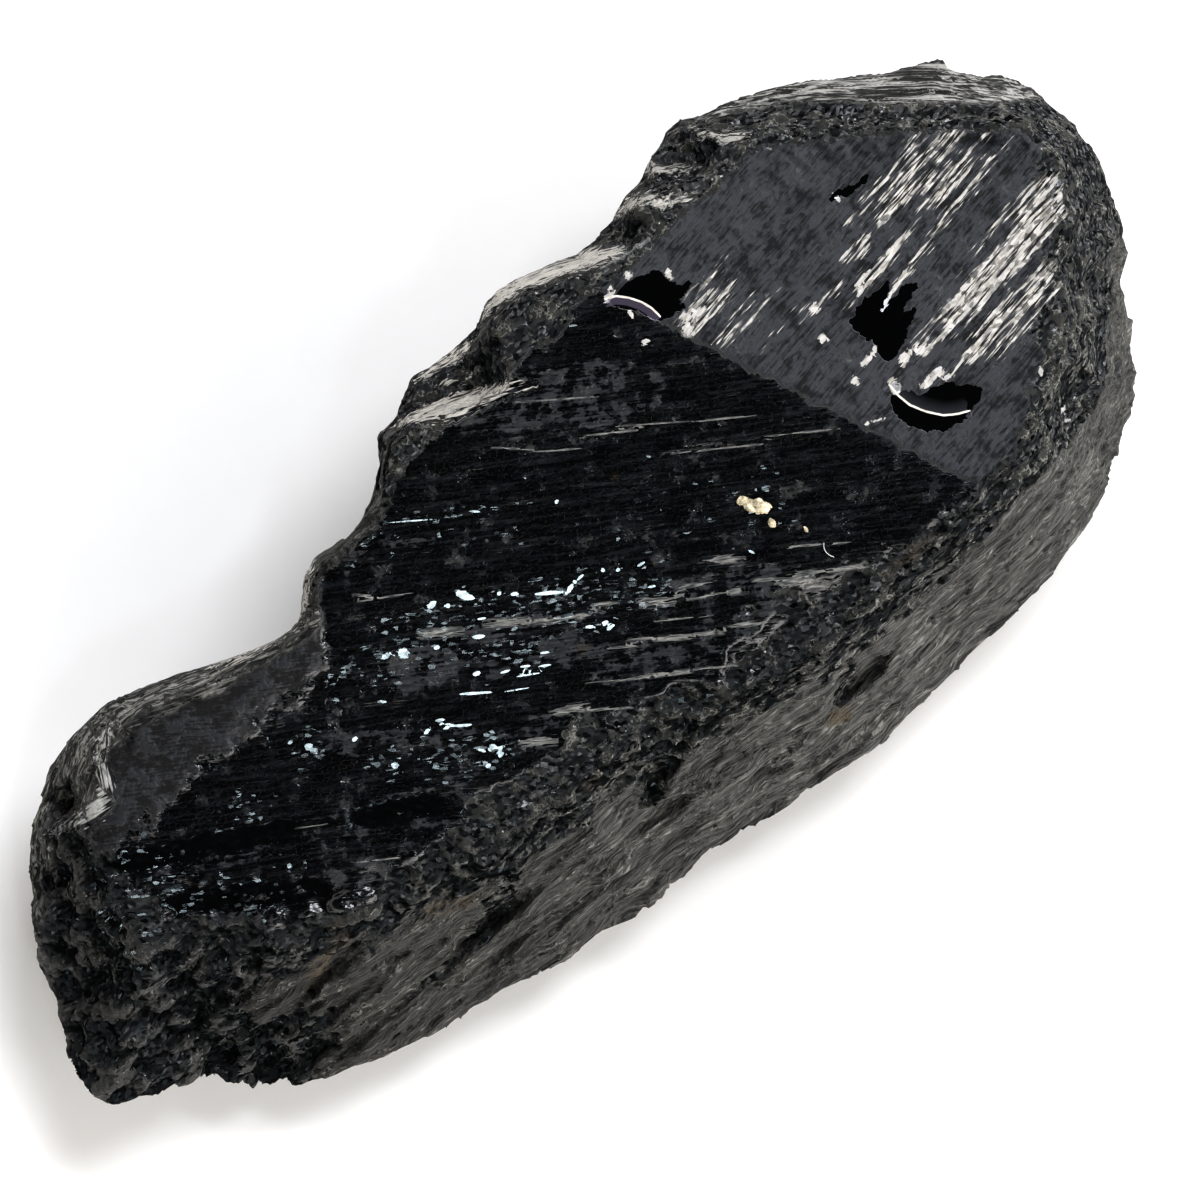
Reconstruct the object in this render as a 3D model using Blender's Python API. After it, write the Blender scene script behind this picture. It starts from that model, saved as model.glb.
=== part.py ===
"""A rough fragment of black tourmaline (schorl), lying on its broken underside.

The fragment is one piece. Its fibres run along X, from the narrow end at -X to the blunt head at +X.
+Y is the stepped back, -Y the fibrous front flank, +Z is up, and the floor it rests on is at Z = 0.
All places below are in millimetres, seen from above, and MM turns them into metres.
"""

import math

import bmesh
import bpy
import numpy as np
from mathutils import Matrix, Vector, noise

MM = 0.001

NODE_NAME = "tourmaline_crystal"
# The number of triangles asked for, before the cut at the floor takes some away, the spacing of the
# even mesh that they are thinned from, and the rows of points that the first sheets are made of.
TRIANGLES = 10000
EVEN_MESH = 0.45
STATIONS_ALONG = 320
POINTS_ACROSS = 120
# How far below the floor the underside reaches before it is cut level, and the least thickness.
BELOW_FLOOR = 1.5
LEAST_THICKNESS = 0.5

# The widest line of the fragment, from its left tip along the front to its right tip.
FRONT_LINE = [
    (-51.9, -3.0), (-51.2, -4.3), (-49.5, -5.2), (-48.0, -6.2), (-46.0, -7.0), (-44.5, -7.4),
    (-44.0, -8.6), (-43.4, -10.3), (-41.8, -11.0), (-40.0, -12.4), (-38.0, -13.2), (-36.0, -14.0),
    (-33.0, -15.3), (-30.0, -16.2), (-25.0, -17.0), (-22.0, -18.0), (-20.0, -18.5), (-15.0, -18.8),
    (-12.0, -19.2), (-10.0, -18.9), (-8.0, -19.1), (-5.0, -20.0), (0.0, -20.8), (5.0, -21.7),
    (8.0, -22.1), (13.0, -21.8), (17.5, -21.5), (20.0, -21.6), (25.0, -21.3), (30.0, -20.0),
    (32.0, -19.0), (35.0, -17.0), (38.0, -15.3), (39.5, -13.5), (41.3, -11.6), (42.7, -8.7),
    (44.5, -7.5), (46.0, -5.0), (47.0, -2.0), (47.7, 0.0), (48.0, 2.0),
]
# The same line along the back, with a corner for each ledge.
BACK_LINE = [
    (-51.9, -3.0), (-51.7, -1.0), (-51.0, 1.0), (-49.0, 5.0), (-48.3, 6.8), (-47.0, 9.5),
    (-45.0, 11.5), (-43.5, 13.4), (-42.0, 15.0), (-39.5, 16.2), (-38.0, 17.0), (-35.7, 17.7),
    (-33.0, 17.4), (-32.3, 17.8), (-30.0, 17.2), (-25.0, 15.2), (-22.0, 13.9), (-20.0, 13.2),
    (-18.0, 12.8), (-17.0, 13.2), (-15.5, 14.8), (-13.7, 15.4), (-11.5, 15.0), (-10.0, 15.1),
    (-8.0, 15.5), (-6.0, 17.2), (-4.2, 18.8), (-3.0, 18.7), (-1.6, 19.2), (0.0, 20.0),
    (1.2, 20.1), (3.0, 19.7), (5.0, 19.4), (7.0, 20.2), (8.6, 20.6), (10.0, 20.5),
    (12.0, 19.8), (14.5, 18.9), (16.0, 18.9), (18.5, 19.2), (20.0, 19.8), (22.0, 20.0),
    (22.6, 20.6), (24.0, 21.0), (26.5, 21.2), (28.0, 20.6), (30.0, 20.0), (33.0, 18.6),
    (36.0, 17.0), (38.0, 15.5), (41.0, 13.4), (43.0, 12.0), (44.4, 10.0), (46.0, 8.0),
    (47.4, 5.6), (47.6, 3.5), (48.0, 2.0),
]
# Along each of those lines: X, the line's height above the floor, how steeply the stone rises
# inside it, and how far in it is undercut at the floor.
FRONT_RISE = [
    (-51.9, 8.0, 0.9, 7.0), (-46.0, 7.0, 1.0, 7.0), (-43.0, 5.0, 1.35, 6.0), (-30.0, 4.5, 1.5, 5.0),
    (-10.0, 5.0, 1.85, 5.5), (0.0, 5.0, 2.15, 6.0), (15.0, 5.0, 2.6, 6.5), (25.0, 5.5, 2.8, 7.0),
    (33.0, 7.0, 3.0, 7.0), (40.0, 9.0, 2.8, 7.5), (45.0, 11.0, 2.6, 8.0), (48.0, 12.0, 3.0, 9.0),
]
BACK_RISE = [
    (-51.9, 8.0, 0.9, 7.0), (-49.0, 8.5, 1.2, 7.5), (-45.0, 9.0, 1.6, 8.0), (-40.0, 10.0, 2.2, 8.0),
    (-33.0, 12.0, 3.0, 7.0), (-25.0, 14.0, 4.0, 6.0), (-18.0, 16.0, 6.0, 5.0), (-12.0, 17.5, 7.0, 5.0),
    (-6.0, 18.0, 7.0, 6.0), (0.0, 17.5, 7.0, 7.5), (8.0, 17.0, 7.0, 9.0), (16.0, 16.5, 7.0, 9.0),
    (24.0, 16.0, 6.0, 10.0), (29.0, 15.5, 3.6, 10.0), (34.0, 15.0, 1.9, 10.0), (42.0, 14.0, 1.8, 9.0),
    (46.0, 13.0, 2.2, 9.0), (48.0, 12.0, 3.0, 9.0),
]

# The two broad faces meet in a ridge at RIDGE_POINT. Each has a slope in X and Y. A third face, dull
# and flatter, takes the back of the narrow end.
RIDGE_POINT = (20.0, 0.0)
RIDGE_HEIGHT = 28.2
MAIN_SLOPE = (0.16, 0.05)
HEAD_SLOPE = (-0.24, -0.10)
DULL_POINT = (-30.0, 9.8)
DULL_HEIGHT = 20.4
DULL_SLOPE = (0.22, -0.16)
# How far the edges are rounded where these faces meet, and where they are broken off at the sides.
RIDGE_EDGE = 0.3
DULL_EDGE = 0.4
BROKEN_EDGE = 1.3

# Ledges at the back: X and Y of the corner where each starts, direction in degrees, length, and
# drop. Each is a wall that faces back and right, LEDGE_WALL as wide in plan as it is high. The
# ledge's floor climbs again over LEDGE_END.
LEDGES = [
    (-4.6, 18.6, -25.0, 10.5, 5.0),
    (0.2, 19.6, -18.0, 5.5, 2.6),
    (8.4, 20.3, -24.0, 12.0, 6.0),
    (18.9, 18.9, -22.0, 9.0, 4.2),
    (22.6, 19.6, -38.0, 4.0, 2.2),
    (26.8, 19.8, -48.0, 6.0, 3.4),
]
LEDGE_WALL = 0.28
LEDGE_END = 3.5

# Shell-shaped pits: X and Y, half length, half width, direction in degrees, depth.
PITS = [
    (17.2, 13.1, 2.6, 2.3, -35.0, 1.1),
    (27.8, 0.9, 2.9, 2.6, 60.0, 1.0),
    (28.0, -5.4, 3.4, 2.7, -20.0, 1.5),
    (33.0, 9.3, 2.2, 0.7, -10.0, 0.6),
    (-39.0, 14.2, 1.4, 1.1, 0.0, 3.2),
    (-42.5, -2.4, 3.6, 2.6, 20.0, 1.8),
    (-46.4, 3.2, 3.0, 1.8, 60.0, 1.6),
    (-43.0, 9.0, 2.8, 1.6, 45.0, 1.6),
    (-42.0, -7.4, 6.5, 1.5, -8.0, 2.4),
    (-40.0, -10.2, 4.6, 1.5, -12.0, 3.0),
    (-21.8, -12.3, 3.4, 1.0, -8.0, 2.6),
    (-6.3, -12.8, 2.2, 1.2, 25.0, 3.2),
    (8.6, -11.4, 6.4, 1.9, -6.0, 1.7),
    (-2.6, -10.6, 3.2, 2.0, -30.0, 1.6),
    (9.3, -17.2, 2.8, 0.9, 0.0, 3.0),
    (34.5, -11.9, 2.4, 1.9, 30.0, 2.6),
]
# How ragged a pit's outline is, over what distance, and how steep its wall is against its floor.
PIT_UNEVEN = 0.5
PIT_UNEVEN_SIZE = 2.0
PIT_BOWL = 0.7

# Grooves that cross the main face along its ribs: X and Y of both ends, depth.
GROOVES = [
    (-40.0, 9.0, -27.0, 1.6, 0.9),
    (-38.5, 4.2, -28.5, -3.2, 1.0),
    (-24.5, -0.2, -18.0, -4.2, 0.8),
    (-14.0, 9.5, 6.0, -1.5, 0.6),
    (-8.0, 12.5, 12.0, 1.0, 0.7),
]
GROOVE_WIDTH = 0.8

# Ribs: their direction in degrees, spacing across them, and height, on the main face, the head and
# the front flank. The flank is steep, so its ribs are measured across in the view from above.
MAIN_RIBS = (-33.0, 2.2, 0.70)
HEAD_RIBS = (8.0, 1.7, 0.45)
FLANK_RIBS = (0.0, 1.3, 1.4)
RIB_RUN = 6.0
# The ribs fade out this near the ridge, and the head's only reach full height further right.
RIDGE_PLAIN = 2.5
HEAD_PLAIN = 9.0

# Crumbs along the broken edges: their height, their size, and the reach of the crumbly band.
CRUMB = 0.9
CRUMB_SIZE = 1.6
CRUMB_REACH = 3.0
# Chips at the left end: their height and size in X and Y, and where they begin and are whole.
END_CHIP = 1.3
END_CHIP_SIZE = (2.8, 2.2)
END_CHIPS_AT = -38.0
END_CHIPS_WHOLE = -42.0
# Lumps on the hidden sides: their height, and the size of the long ones and of the small ones.
SIDE_LUMP = 0.55
LONG_LUMP = (14.0, 3.6, 3.0)
SMALL_LUMP = (2.6, 2.2, 2.2)


def column(rows, k):
    """One column of a list of rows."""
    return np.array([row[k] for row in rows], float)


def points_along(rows, spacing=0.4):
    """The line through these points, with a point every spacing or so."""
    x, y = column(rows, 0), column(rows, 1)
    run = np.concatenate([[0.0], np.cumsum(np.hypot(np.diff(x), np.diff(y)))])
    at = np.linspace(0.0, run[-1], int(run[-1] / spacing))
    return np.interp(at, run, x), np.interp(at, run, y)


def nearest(line, x, y):
    """For each place, its distance from the line and the X of the line's nearest point."""
    away = np.full(x.shape, np.inf)
    at = np.zeros(x.shape)
    for px, py in zip(*line):
        here = np.hypot(x - px, y - py)
        closer = here < away
        away[closer] = here[closer]
        at[closer] = px
    return away, at


def softer_min(a, b, blend):
    """The lower of two heights, rounded where they cross."""
    h = np.clip(0.5 + 0.5 * (b - a) / blend, 0.0, 1.0)
    return b + (a - b) * h - blend * h * (1.0 - h)


def smooth_step(t):
    """0 below 0, 1 above 1, and an even curve between."""
    t = np.clip(t, 0.0, 1.0)
    return t * t * (3.0 - 2.0 * t)


def turned(x, y, degrees):
    """How far along a direction, and how far to the left of it."""
    c, s = math.cos(math.radians(degrees)), math.sin(math.radians(degrees))
    return x * c + y * s, -x * s + y * c


def wander(x, y, z, seed):
    """Smooth noise of about -1 to 1 at each place, in two sizes."""
    places = [Vector(place) for place in zip(x, y, z + seed)]
    return np.array([noise.noise(place) + 0.5 * noise.noise(2.3 * place) for place in places])


def tilted_face(point, height, slope, x, y):
    return height + slope[0] * (x - point[0]) + slope[1] * (y - point[1])


def ribs(kind, x, y, seed):
    """Uneven ribs: long in one direction, short across it."""
    degrees, spacing, height = kind
    along, across = turned(x, y, degrees)
    return height * wander(across / spacing, along / (RIB_RUN * spacing), 0.0 * x, seed)


def ledge_drop(x, y):
    """How far the ledges bring the top down."""
    total = np.zeros(x.shape)
    for corner_x, corner_y, degrees, length, drop in LEDGES:
        along, across = turned(x - corner_x, y - corner_y, degrees)
        end = smooth_step((length - along) / LEDGE_END)
        total += drop * end * smooth_step(across / (LEDGE_WALL * drop))
    return total


def pit_depth(x, y):
    """How far the pits bring the surface down."""
    total = np.zeros(x.shape)
    for centre_x, centre_y, half_length, half_width, degrees, depth in PITS:
        along, across = turned(x - centre_x, y - centre_y, degrees)
        out = (along / half_length) ** 2 + (across / half_width) ** 2
        ragged = wander(x / PIT_UNEVEN_SIZE, y / PIT_UNEVEN_SIZE, 0.0 * x, centre_x)
        out *= 1.0 + PIT_UNEVEN * ragged
        total = np.maximum(total, depth * np.clip(1.0 - out, 0.0, 1.0) ** PIT_BOWL)
    return total


def groove_depth(x, y):
    """How far the grooves bring the main face down."""
    total = np.zeros(x.shape)
    for ax, ay, bx, by, depth in GROOVES:
        length = math.hypot(bx - ax, by - ay)
        along, across = turned(x - ax, y - ay, math.degrees(math.atan2(by - ay, bx - ax)))
        ends = np.sqrt(np.clip(1.0 - (2.0 * along / length - 1.0) ** 2, 0.0, 1.0))
        total += depth * ends * np.exp(-((across / GROOVE_WIDTH) ** 2))
    return total


def broad_faces(x, y):
    """The two broad faces and the dull one, with the ribs, grooves and ledges that break them."""
    main = tilted_face(RIDGE_POINT, RIDGE_HEIGHT, MAIN_SLOPE, x, y)
    head = tilted_face(RIDGE_POINT, RIDGE_HEIGHT, HEAD_SLOPE, x, y)
    dull = tilted_face(DULL_POINT, DULL_HEIGHT, DULL_SLOPE, x, y)
    steepness = math.hypot(MAIN_SLOPE[0] - HEAD_SLOPE[0], MAIN_SLOPE[1] - HEAD_SLOPE[1])
    past_ridge = (main - head) / steepness
    main += ribs(MAIN_RIBS, x, y, 3.0) * smooth_step(-past_ridge / RIDGE_PLAIN) - groove_depth(x, y)
    head += ribs(HEAD_RIBS, x, y, 7.0) * smooth_step(past_ridge / HEAD_PLAIN)
    ridged = softer_min(main, head, RIDGE_EDGE)
    return softer_min(ridged, dull, DULL_EDGE) - ledge_drop(x, y)


def rise_inside(rise, away, at):
    """Height of the side that climbs inwards from the stone's widest line."""
    foot = np.interp(at, column(rise, 0), column(rise, 1))
    slope = np.interp(at, column(rise, 0), column(rise, 2))
    return foot + slope * away


def undercut(rise, away, at):
    """Height of the side that falls inwards from the widest line to the floor."""
    foot = np.interp(at, column(rise, 0), column(rise, 1))
    reach = np.interp(at, column(rise, 0), column(rise, 3))
    return foot * (1.0 - away / reach)


def upper_height(x, y, front, back):
    """Height of all that is seen from above: the broad faces, broken off at the sides into crumbs."""
    faces = broad_faces(x, y)
    flank = rise_inside(FRONT_RISE, *front) + ribs(FLANK_RIBS, x, y, 11.0)
    side = np.minimum(flank, rise_inside(BACK_RISE, *back))
    crumbly = np.exp(-(((faces - side) / CRUMB_REACH) ** 2))
    crumbs = CRUMB * crumbly * wander(x / CRUMB_SIZE, y / CRUMB_SIZE, side / CRUMB_SIZE, 19.0)
    chipped = smooth_step((END_CHIPS_AT - x) / (END_CHIPS_AT - END_CHIPS_WHOLE))
    chips = END_CHIP * chipped * wander(x / END_CHIP_SIZE[0], y / END_CHIP_SIZE[1], 0.0 * x, 31.0)
    return softer_min(faces, side, BROKEN_EDGE) + crumbs + chips - pit_depth(x, y)


def lower_height(x, y, front, back):
    """Height of the underside, taken a little below the floor, where it is cut level later."""
    under = np.maximum(undercut(FRONT_RISE, *front), undercut(BACK_RISE, *back))
    return np.maximum(under, -BELOW_FLOOR)


def places_in_plan():
    """X and Y of a grid of places that fills the stone's outline, closer together at its rim."""
    left, right = FRONT_LINE[0][0], FRONT_LINE[-1][0]
    x_row = left + (right - left) * np.linspace(0.0, 1.0, STATIONS_ALONG)
    y_front = np.interp(x_row, column(FRONT_LINE, 0), column(FRONT_LINE, 1))
    y_back = np.interp(x_row, column(BACK_LINE, 0), column(BACK_LINE, 1))
    share = 0.5 - 0.5 * np.cos(math.pi * np.linspace(0.0, 1.0, POINTS_ACROSS))
    x = np.repeat(x_row[:, None], POINTS_ACROSS, 1)
    y = y_front[:, None] + (y_back - y_front)[:, None] * share
    return x.ravel(), y.ravel()


def blank_mesh():
    """Two sheets that share the stone's widest line, one above it and one below."""
    x, y = places_in_plan()
    front = nearest(points_along(FRONT_LINE), x, y)
    back = nearest(points_along(BACK_LINE), x, y)
    top = upper_height(x, y, front, back)
    low = np.minimum(lower_height(x, y, front, back), top - LEAST_THICKNESS)
    grid = np.arange(len(x)).reshape(STATIONS_ALONG, POINTS_ACROSS)
    rim = np.zeros(grid.shape, bool)
    rim[[0, -1]] = rim[:, [0, -1]] = True
    rim = rim.ravel()

    bm = bmesh.new()
    upper = [bm.verts.new(place) for place in zip(x, y, top)]
    lower = [upper[i] if rim[i] else bm.verts.new((x[i], y[i], low[i])) for i in grid.ravel()]
    for j in range(STATIONS_ALONG - 1):
        for k in range(POINTS_ACROSS - 1):
            corners = [grid[j, k], grid[j + 1, k], grid[j + 1, k + 1], grid[j, k + 1]]
            bm.faces.new([upper[i] for i in corners])
            bm.faces.new([lower[i] for i in reversed(corners)])
    bmesh.ops.remove_doubles(bm, verts=bm.verts, dist=1e-4)
    bmesh.ops.recalc_face_normals(bm, faces=bm.faces)
    mesh = bpy.data.meshes.new(NODE_NAME)
    bm.to_mesh(mesh)
    bm.free()
    return mesh


def made_real(obj):
    """Puts the result of the object's modifiers in place of its mesh."""
    graph = bpy.context.evaluated_depsgraph_get()
    graph.update()
    mesh = bpy.data.meshes.new_from_object(obj.evaluated_get(graph))
    obj.modifiers.clear()
    obj.data = mesh


def roughen_sides(mesh):
    """Lumps on the sides that are hidden from above, most of them long, along the stone's fibres."""
    count = len(mesh.vertices)
    place, normal = np.empty(count * 3), np.empty(count * 3)
    mesh.vertices.foreach_get("co", place)
    mesh.vertex_normals.foreach_get("vector", normal)
    place, normal = place.reshape(-1, 3), normal.reshape(-1, 3)
    sideways = smooth_step((0.35 - normal[:, 2]) / 0.4)
    lumps = wander(*(place / LONG_LUMP).T, 23.0) + 0.5 * wander(*(place / SMALL_LUMP).T, 29.0)
    place += normal * (SIDE_LUMP * sideways * lumps)[:, None]
    mesh.vertices.foreach_set("co", place.ravel())
    mesh.update()


def cut_flat(mesh):
    """Cuts the mesh level at Z = 0, which leaves the face that the stone rests on."""
    bm = bmesh.new()
    bm.from_mesh(mesh)
    everything = list(bm.verts) + list(bm.edges) + list(bm.faces)
    bmesh.ops.bisect_plane(
        bm, geom=everything, dist=1e-3, plane_co=(0, 0, 0), plane_no=(0, 0, 1), clear_inner=True
    )
    rim = [edge for edge in bm.edges if len(edge.link_faces) == 1]
    bmesh.ops.holes_fill(bm, edges=rim, sides=0)
    bmesh.ops.triangulate(bm, faces=bm.faces)
    bmesh.ops.recalc_face_normals(bm, faces=bm.faces)
    bm.to_mesh(mesh)
    bm.free()


def centred(mesh):
    """Moves the mesh so that the middle of its box is over the origin."""
    place = np.empty(len(mesh.vertices) * 3)
    mesh.vertices.foreach_get("co", place)
    place = place.reshape(-1, 3)
    middle = (place.min(axis=0) + place.max(axis=0)) / 2.0
    mesh.transform(Matrix.Translation((-middle[0], -middle[1], 0.0)))


def stone_material():
    material = bpy.data.materials.new("black tourmaline")
    material.use_nodes = True
    shader = material.node_tree.nodes["Principled BSDF"]
    shader.inputs["Base Color"].default_value = (0.012, 0.013, 0.015, 1.0)
    shader.inputs["Roughness"].default_value = 0.35
    shader.inputs["Metallic"].default_value = 0.0
    return material


def main():
    for obj in list(bpy.data.objects):
        bpy.data.objects.remove(obj)
    stone = bpy.data.objects.new(NODE_NAME, blank_mesh())
    bpy.context.scene.collection.objects.link(stone)
    even = stone.modifiers.new("even", "REMESH")
    even.mode = "VOXEL"
    even.voxel_size = EVEN_MESH
    made_real(stone)
    roughen_sides(stone.data)
    thin = stone.modifiers.new("thin", "DECIMATE")
    thin.ratio = TRIANGLES / (2.0 * len(stone.data.polygons))
    made_real(stone)
    cut_flat(stone.data)
    centred(stone.data)
    stone.data.transform(Matrix.Scale(MM, 4))
    stone.data.materials.append(stone_material())


main()
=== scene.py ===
"""Dresses the black tourmaline fragment: the stone with its ribs, chips and lustre, a grain of
feldspar and a fibre of lint on it, the pale floor, soft studio light and the camera above.

Lengths in the tables are millimetres in the stone's own plan: X along its fibres towards the blunt
head, Y towards the stepped back. PLAN_SHIFT takes that plan to the frame that the stone rests in.
"""

import math
from types import SimpleNamespace

import bpy
import numpy as np
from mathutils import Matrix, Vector, noise


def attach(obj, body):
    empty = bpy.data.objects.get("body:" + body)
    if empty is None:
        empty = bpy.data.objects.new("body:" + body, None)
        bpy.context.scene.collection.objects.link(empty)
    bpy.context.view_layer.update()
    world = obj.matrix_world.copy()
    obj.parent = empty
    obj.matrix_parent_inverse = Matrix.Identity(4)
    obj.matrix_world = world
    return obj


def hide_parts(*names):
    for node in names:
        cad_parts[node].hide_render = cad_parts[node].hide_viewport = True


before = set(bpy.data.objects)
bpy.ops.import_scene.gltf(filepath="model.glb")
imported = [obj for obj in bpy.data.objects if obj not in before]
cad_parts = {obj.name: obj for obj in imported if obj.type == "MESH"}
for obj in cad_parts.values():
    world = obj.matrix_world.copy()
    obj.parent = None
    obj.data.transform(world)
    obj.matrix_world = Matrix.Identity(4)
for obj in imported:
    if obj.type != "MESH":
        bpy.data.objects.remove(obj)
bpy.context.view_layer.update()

bl_info = {
    "name": "Black tourmaline fragment",
    "version": (1, 0, 0),
    "blender": (4, 5, 0),
    "location": "3D View > Sidebar > Tourmaline",
    "description": "Shapes and dresses a rough fragment of black tourmaline and its studio",
    "category": "Object",
}

MM = 0.001
NODE = "tourmaline_crystal"
BODY = "root"
PLAN_SHIFT = (2.1, 0.5)
TRIANGLES = 194000

# The large form, as in the solid: the widest line along the front and along the back.
FRONT_LINE = [
    (-51.9, -3.0), (-51.2, -4.3), (-49.5, -5.2), (-48.0, -6.2), (-46.0, -7.0), (-44.5, -7.4),
    (-44.0, -8.6), (-43.4, -10.3), (-41.8, -11.0), (-40.0, -12.4), (-38.0, -13.2), (-36.0, -14.0),
    (-33.0, -15.3), (-30.0, -16.2), (-25.0, -17.0), (-22.0, -18.0), (-20.0, -18.5), (-15.0, -18.8),
    (-12.0, -19.2), (-10.0, -18.9), (-8.0, -19.1), (-5.0, -20.0), (0.0, -20.8), (5.0, -21.7),
    (8.0, -22.1), (13.0, -21.8), (17.5, -21.5), (20.0, -21.6), (25.0, -21.3), (30.0, -20.0),
    (32.0, -19.0), (35.0, -17.0), (38.0, -15.3), (39.5, -13.5), (41.3, -11.6), (42.7, -8.7),
    (44.5, -7.5), (46.0, -5.0), (47.0, -2.0), (47.7, 0.0), (48.0, 2.0),
]
BACK_LINE = [
    (-51.9, -3.0), (-51.7, -1.0), (-51.0, 1.0), (-49.0, 5.0), (-48.3, 6.8), (-47.0, 9.5),
    (-45.0, 11.5), (-43.5, 13.4), (-42.0, 15.0), (-39.5, 16.2), (-38.0, 17.0), (-35.7, 17.7),
    (-33.0, 17.4), (-32.3, 17.8), (-30.0, 17.2), (-25.0, 15.2), (-22.0, 13.9), (-20.0, 13.2),
    (-18.0, 12.8), (-17.0, 13.2), (-15.5, 14.8), (-13.7, 15.4), (-11.5, 15.0), (-10.0, 15.1),
    (-8.0, 15.5), (-6.0, 17.2), (-4.2, 18.8), (-3.0, 18.7), (-1.6, 19.2), (0.0, 20.0),
    (1.2, 20.1), (3.0, 19.7), (5.0, 19.4), (7.0, 20.2), (8.6, 20.6), (10.0, 20.5),
    (12.0, 19.8), (14.5, 18.9), (16.0, 18.9), (18.5, 19.2), (20.0, 19.8), (22.0, 20.0),
    (22.6, 20.6), (24.0, 21.0), (26.5, 21.2), (28.0, 20.6), (30.0, 20.0), (33.0, 18.6),
    (36.0, 17.0), (38.0, 15.5), (41.0, 13.4), (43.0, 12.0), (44.4, 10.0), (46.0, 8.0),
    (47.4, 5.6), (47.6, 3.5), (48.0, 2.0),
]
# Along each of those lines: X, its height above the floor, and how steeply the stone rises inside.
FRONT_RISE = [
    (-51.9, 8.0, 0.9), (-46.0, 7.0, 1.0), (-43.0, 5.0, 1.35), (-30.0, 4.5, 1.5),
    (-10.0, 5.0, 1.85), (0.0, 5.0, 2.15), (15.0, 5.0, 2.6), (25.0, 5.5, 2.8),
    (33.0, 7.0, 3.0), (40.0, 9.0, 2.8), (45.0, 11.0, 2.6), (48.0, 12.0, 3.0),
]
BACK_RISE = [
    (-51.9, 8.0, 0.9), (-49.0, 8.5, 1.2), (-45.0, 9.0, 1.6), (-40.0, 10.0, 2.2),
    (-33.0, 12.0, 3.0), (-25.0, 14.0, 4.0), (-18.0, 16.0, 6.0), (-12.0, 17.5, 7.0),
    (-6.0, 18.0, 7.0), (0.0, 17.5, 7.0), (8.0, 17.0, 7.0), (16.0, 16.5, 7.0),
    (24.0, 16.0, 6.0), (29.0, 15.5, 3.6), (34.0, 15.0, 1.9), (42.0, 14.0, 1.8),
    (46.0, 13.0, 2.2), (48.0, 12.0, 3.0),
]
RIDGE_POINT = (20.0, 0.0)
RIDGE_HEIGHT = 28.2
MAIN_SLOPE = (0.16, 0.05)
HEAD_SLOPE = (-0.24, -0.10)
DULL_POINT = (-30.0, 9.8)
DULL_HEIGHT = 20.4
DULL_SLOPE = (0.22, -0.16)
RIDGE_EDGE = 0.3
DULL_EDGE = 0.4
BROKEN_EDGE = 1.3
# Ledges at the back: X and Y of the corner where each starts, direction in degrees, length, drop.
LEDGES = [
    (-4.6, 18.6, -25.0, 10.5, 5.0),
    (0.2, 19.6, -18.0, 5.5, 2.6),
    (8.4, 20.3, -24.0, 12.0, 6.0),
    (18.9, 18.9, -22.0, 9.0, 4.2),
    (22.6, 19.6, -38.0, 4.0, 2.2),
    (26.8, 19.8, -48.0, 6.0, 3.4),
]
LEDGE_WALL = 0.28
LEDGE_END = 3.5
# Pits: X and Y, half length, half width, direction in degrees, depth.
PITS = [
    (-39.0, 14.2, 1.4, 1.1, 0.0, 3.2),
    (-42.5, -2.4, 3.6, 2.6, 20.0, 1.8),
    (-46.4, 3.2, 3.0, 1.8, 60.0, 1.6),
    (-43.0, 9.0, 2.8, 1.6, 45.0, 1.6),
    (-42.0, -7.4, 6.5, 1.5, -8.0, 2.4),
    (-40.0, -10.2, 4.6, 1.5, -12.0, 3.0),
    (-21.8, -12.3, 3.4, 1.0, -8.0, 2.6),
    (-6.3, -12.8, 2.2, 1.2, 25.0, 3.2),
    (8.6, -11.4, 6.4, 1.9, -6.0, 1.7),
    (-2.6, -10.6, 3.2, 2.0, -30.0, 1.6),
    (9.3, -17.2, 2.8, 0.9, 0.0, 3.0),
    (34.5, -11.9, 2.4, 1.9, 30.0, 2.6),
]
PIT_UNEVEN = 0.8
PIT_UNEVEN_SIZE = 2.0
PIT_BOWL = 0.7
# Grooves along the main face's ribs: X and Y of both ends, depth.
GROOVES = [
    (-40.0, 9.0, -27.0, 1.6, 0.9),
    (-38.5, 4.2, -28.5, -3.2, 1.0),
    (-24.5, -0.2, -18.0, -4.2, 0.8),
    (-14.0, 9.5, 6.0, -1.5, 0.6),
    (-8.0, 12.5, 12.0, 1.0, 0.7),
]
GROOVE_WIDTH = 0.8
# The ribs and pits are part of finer relief here, so they are this much lower than in the solid.
SOFTER_RIBS = 0.25
SOFTER_PITS = 0.7
# Ribs: direction in degrees, spacing across them, height.
MAIN_RIBS = (-33.0, 2.2, 0.70)
HEAD_RIBS = (8.0, 1.7, 0.45)
FLANK_RIBS = (0.0, 1.3, 1.4)
RIB_RUN = 6.0
RIDGE_PLAIN = 2.5
HEAD_PLAIN = 9.0
CRUMB = 0.9
CRUMB_SIZE = 1.6
CRUMB_REACH = 3.0
END_CHIP = 1.3
END_CHIP_SIZE = (2.8, 2.2)
END_CHIPS_AT = -38.0
END_CHIPS_WHOLE = -42.0

# Constants of the whole-number hash that scatters the cells of the random patterns.
HASH_PRIMES = (73856093, 19349663, 83492791)
HASH_SALT = 2654435761
HASH_STEP = 1013904223
HASH_MIXER = 0x45D9F3B
HASH_MASK = 0xFFFFFFFF
TILT_SALT = 7

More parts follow.
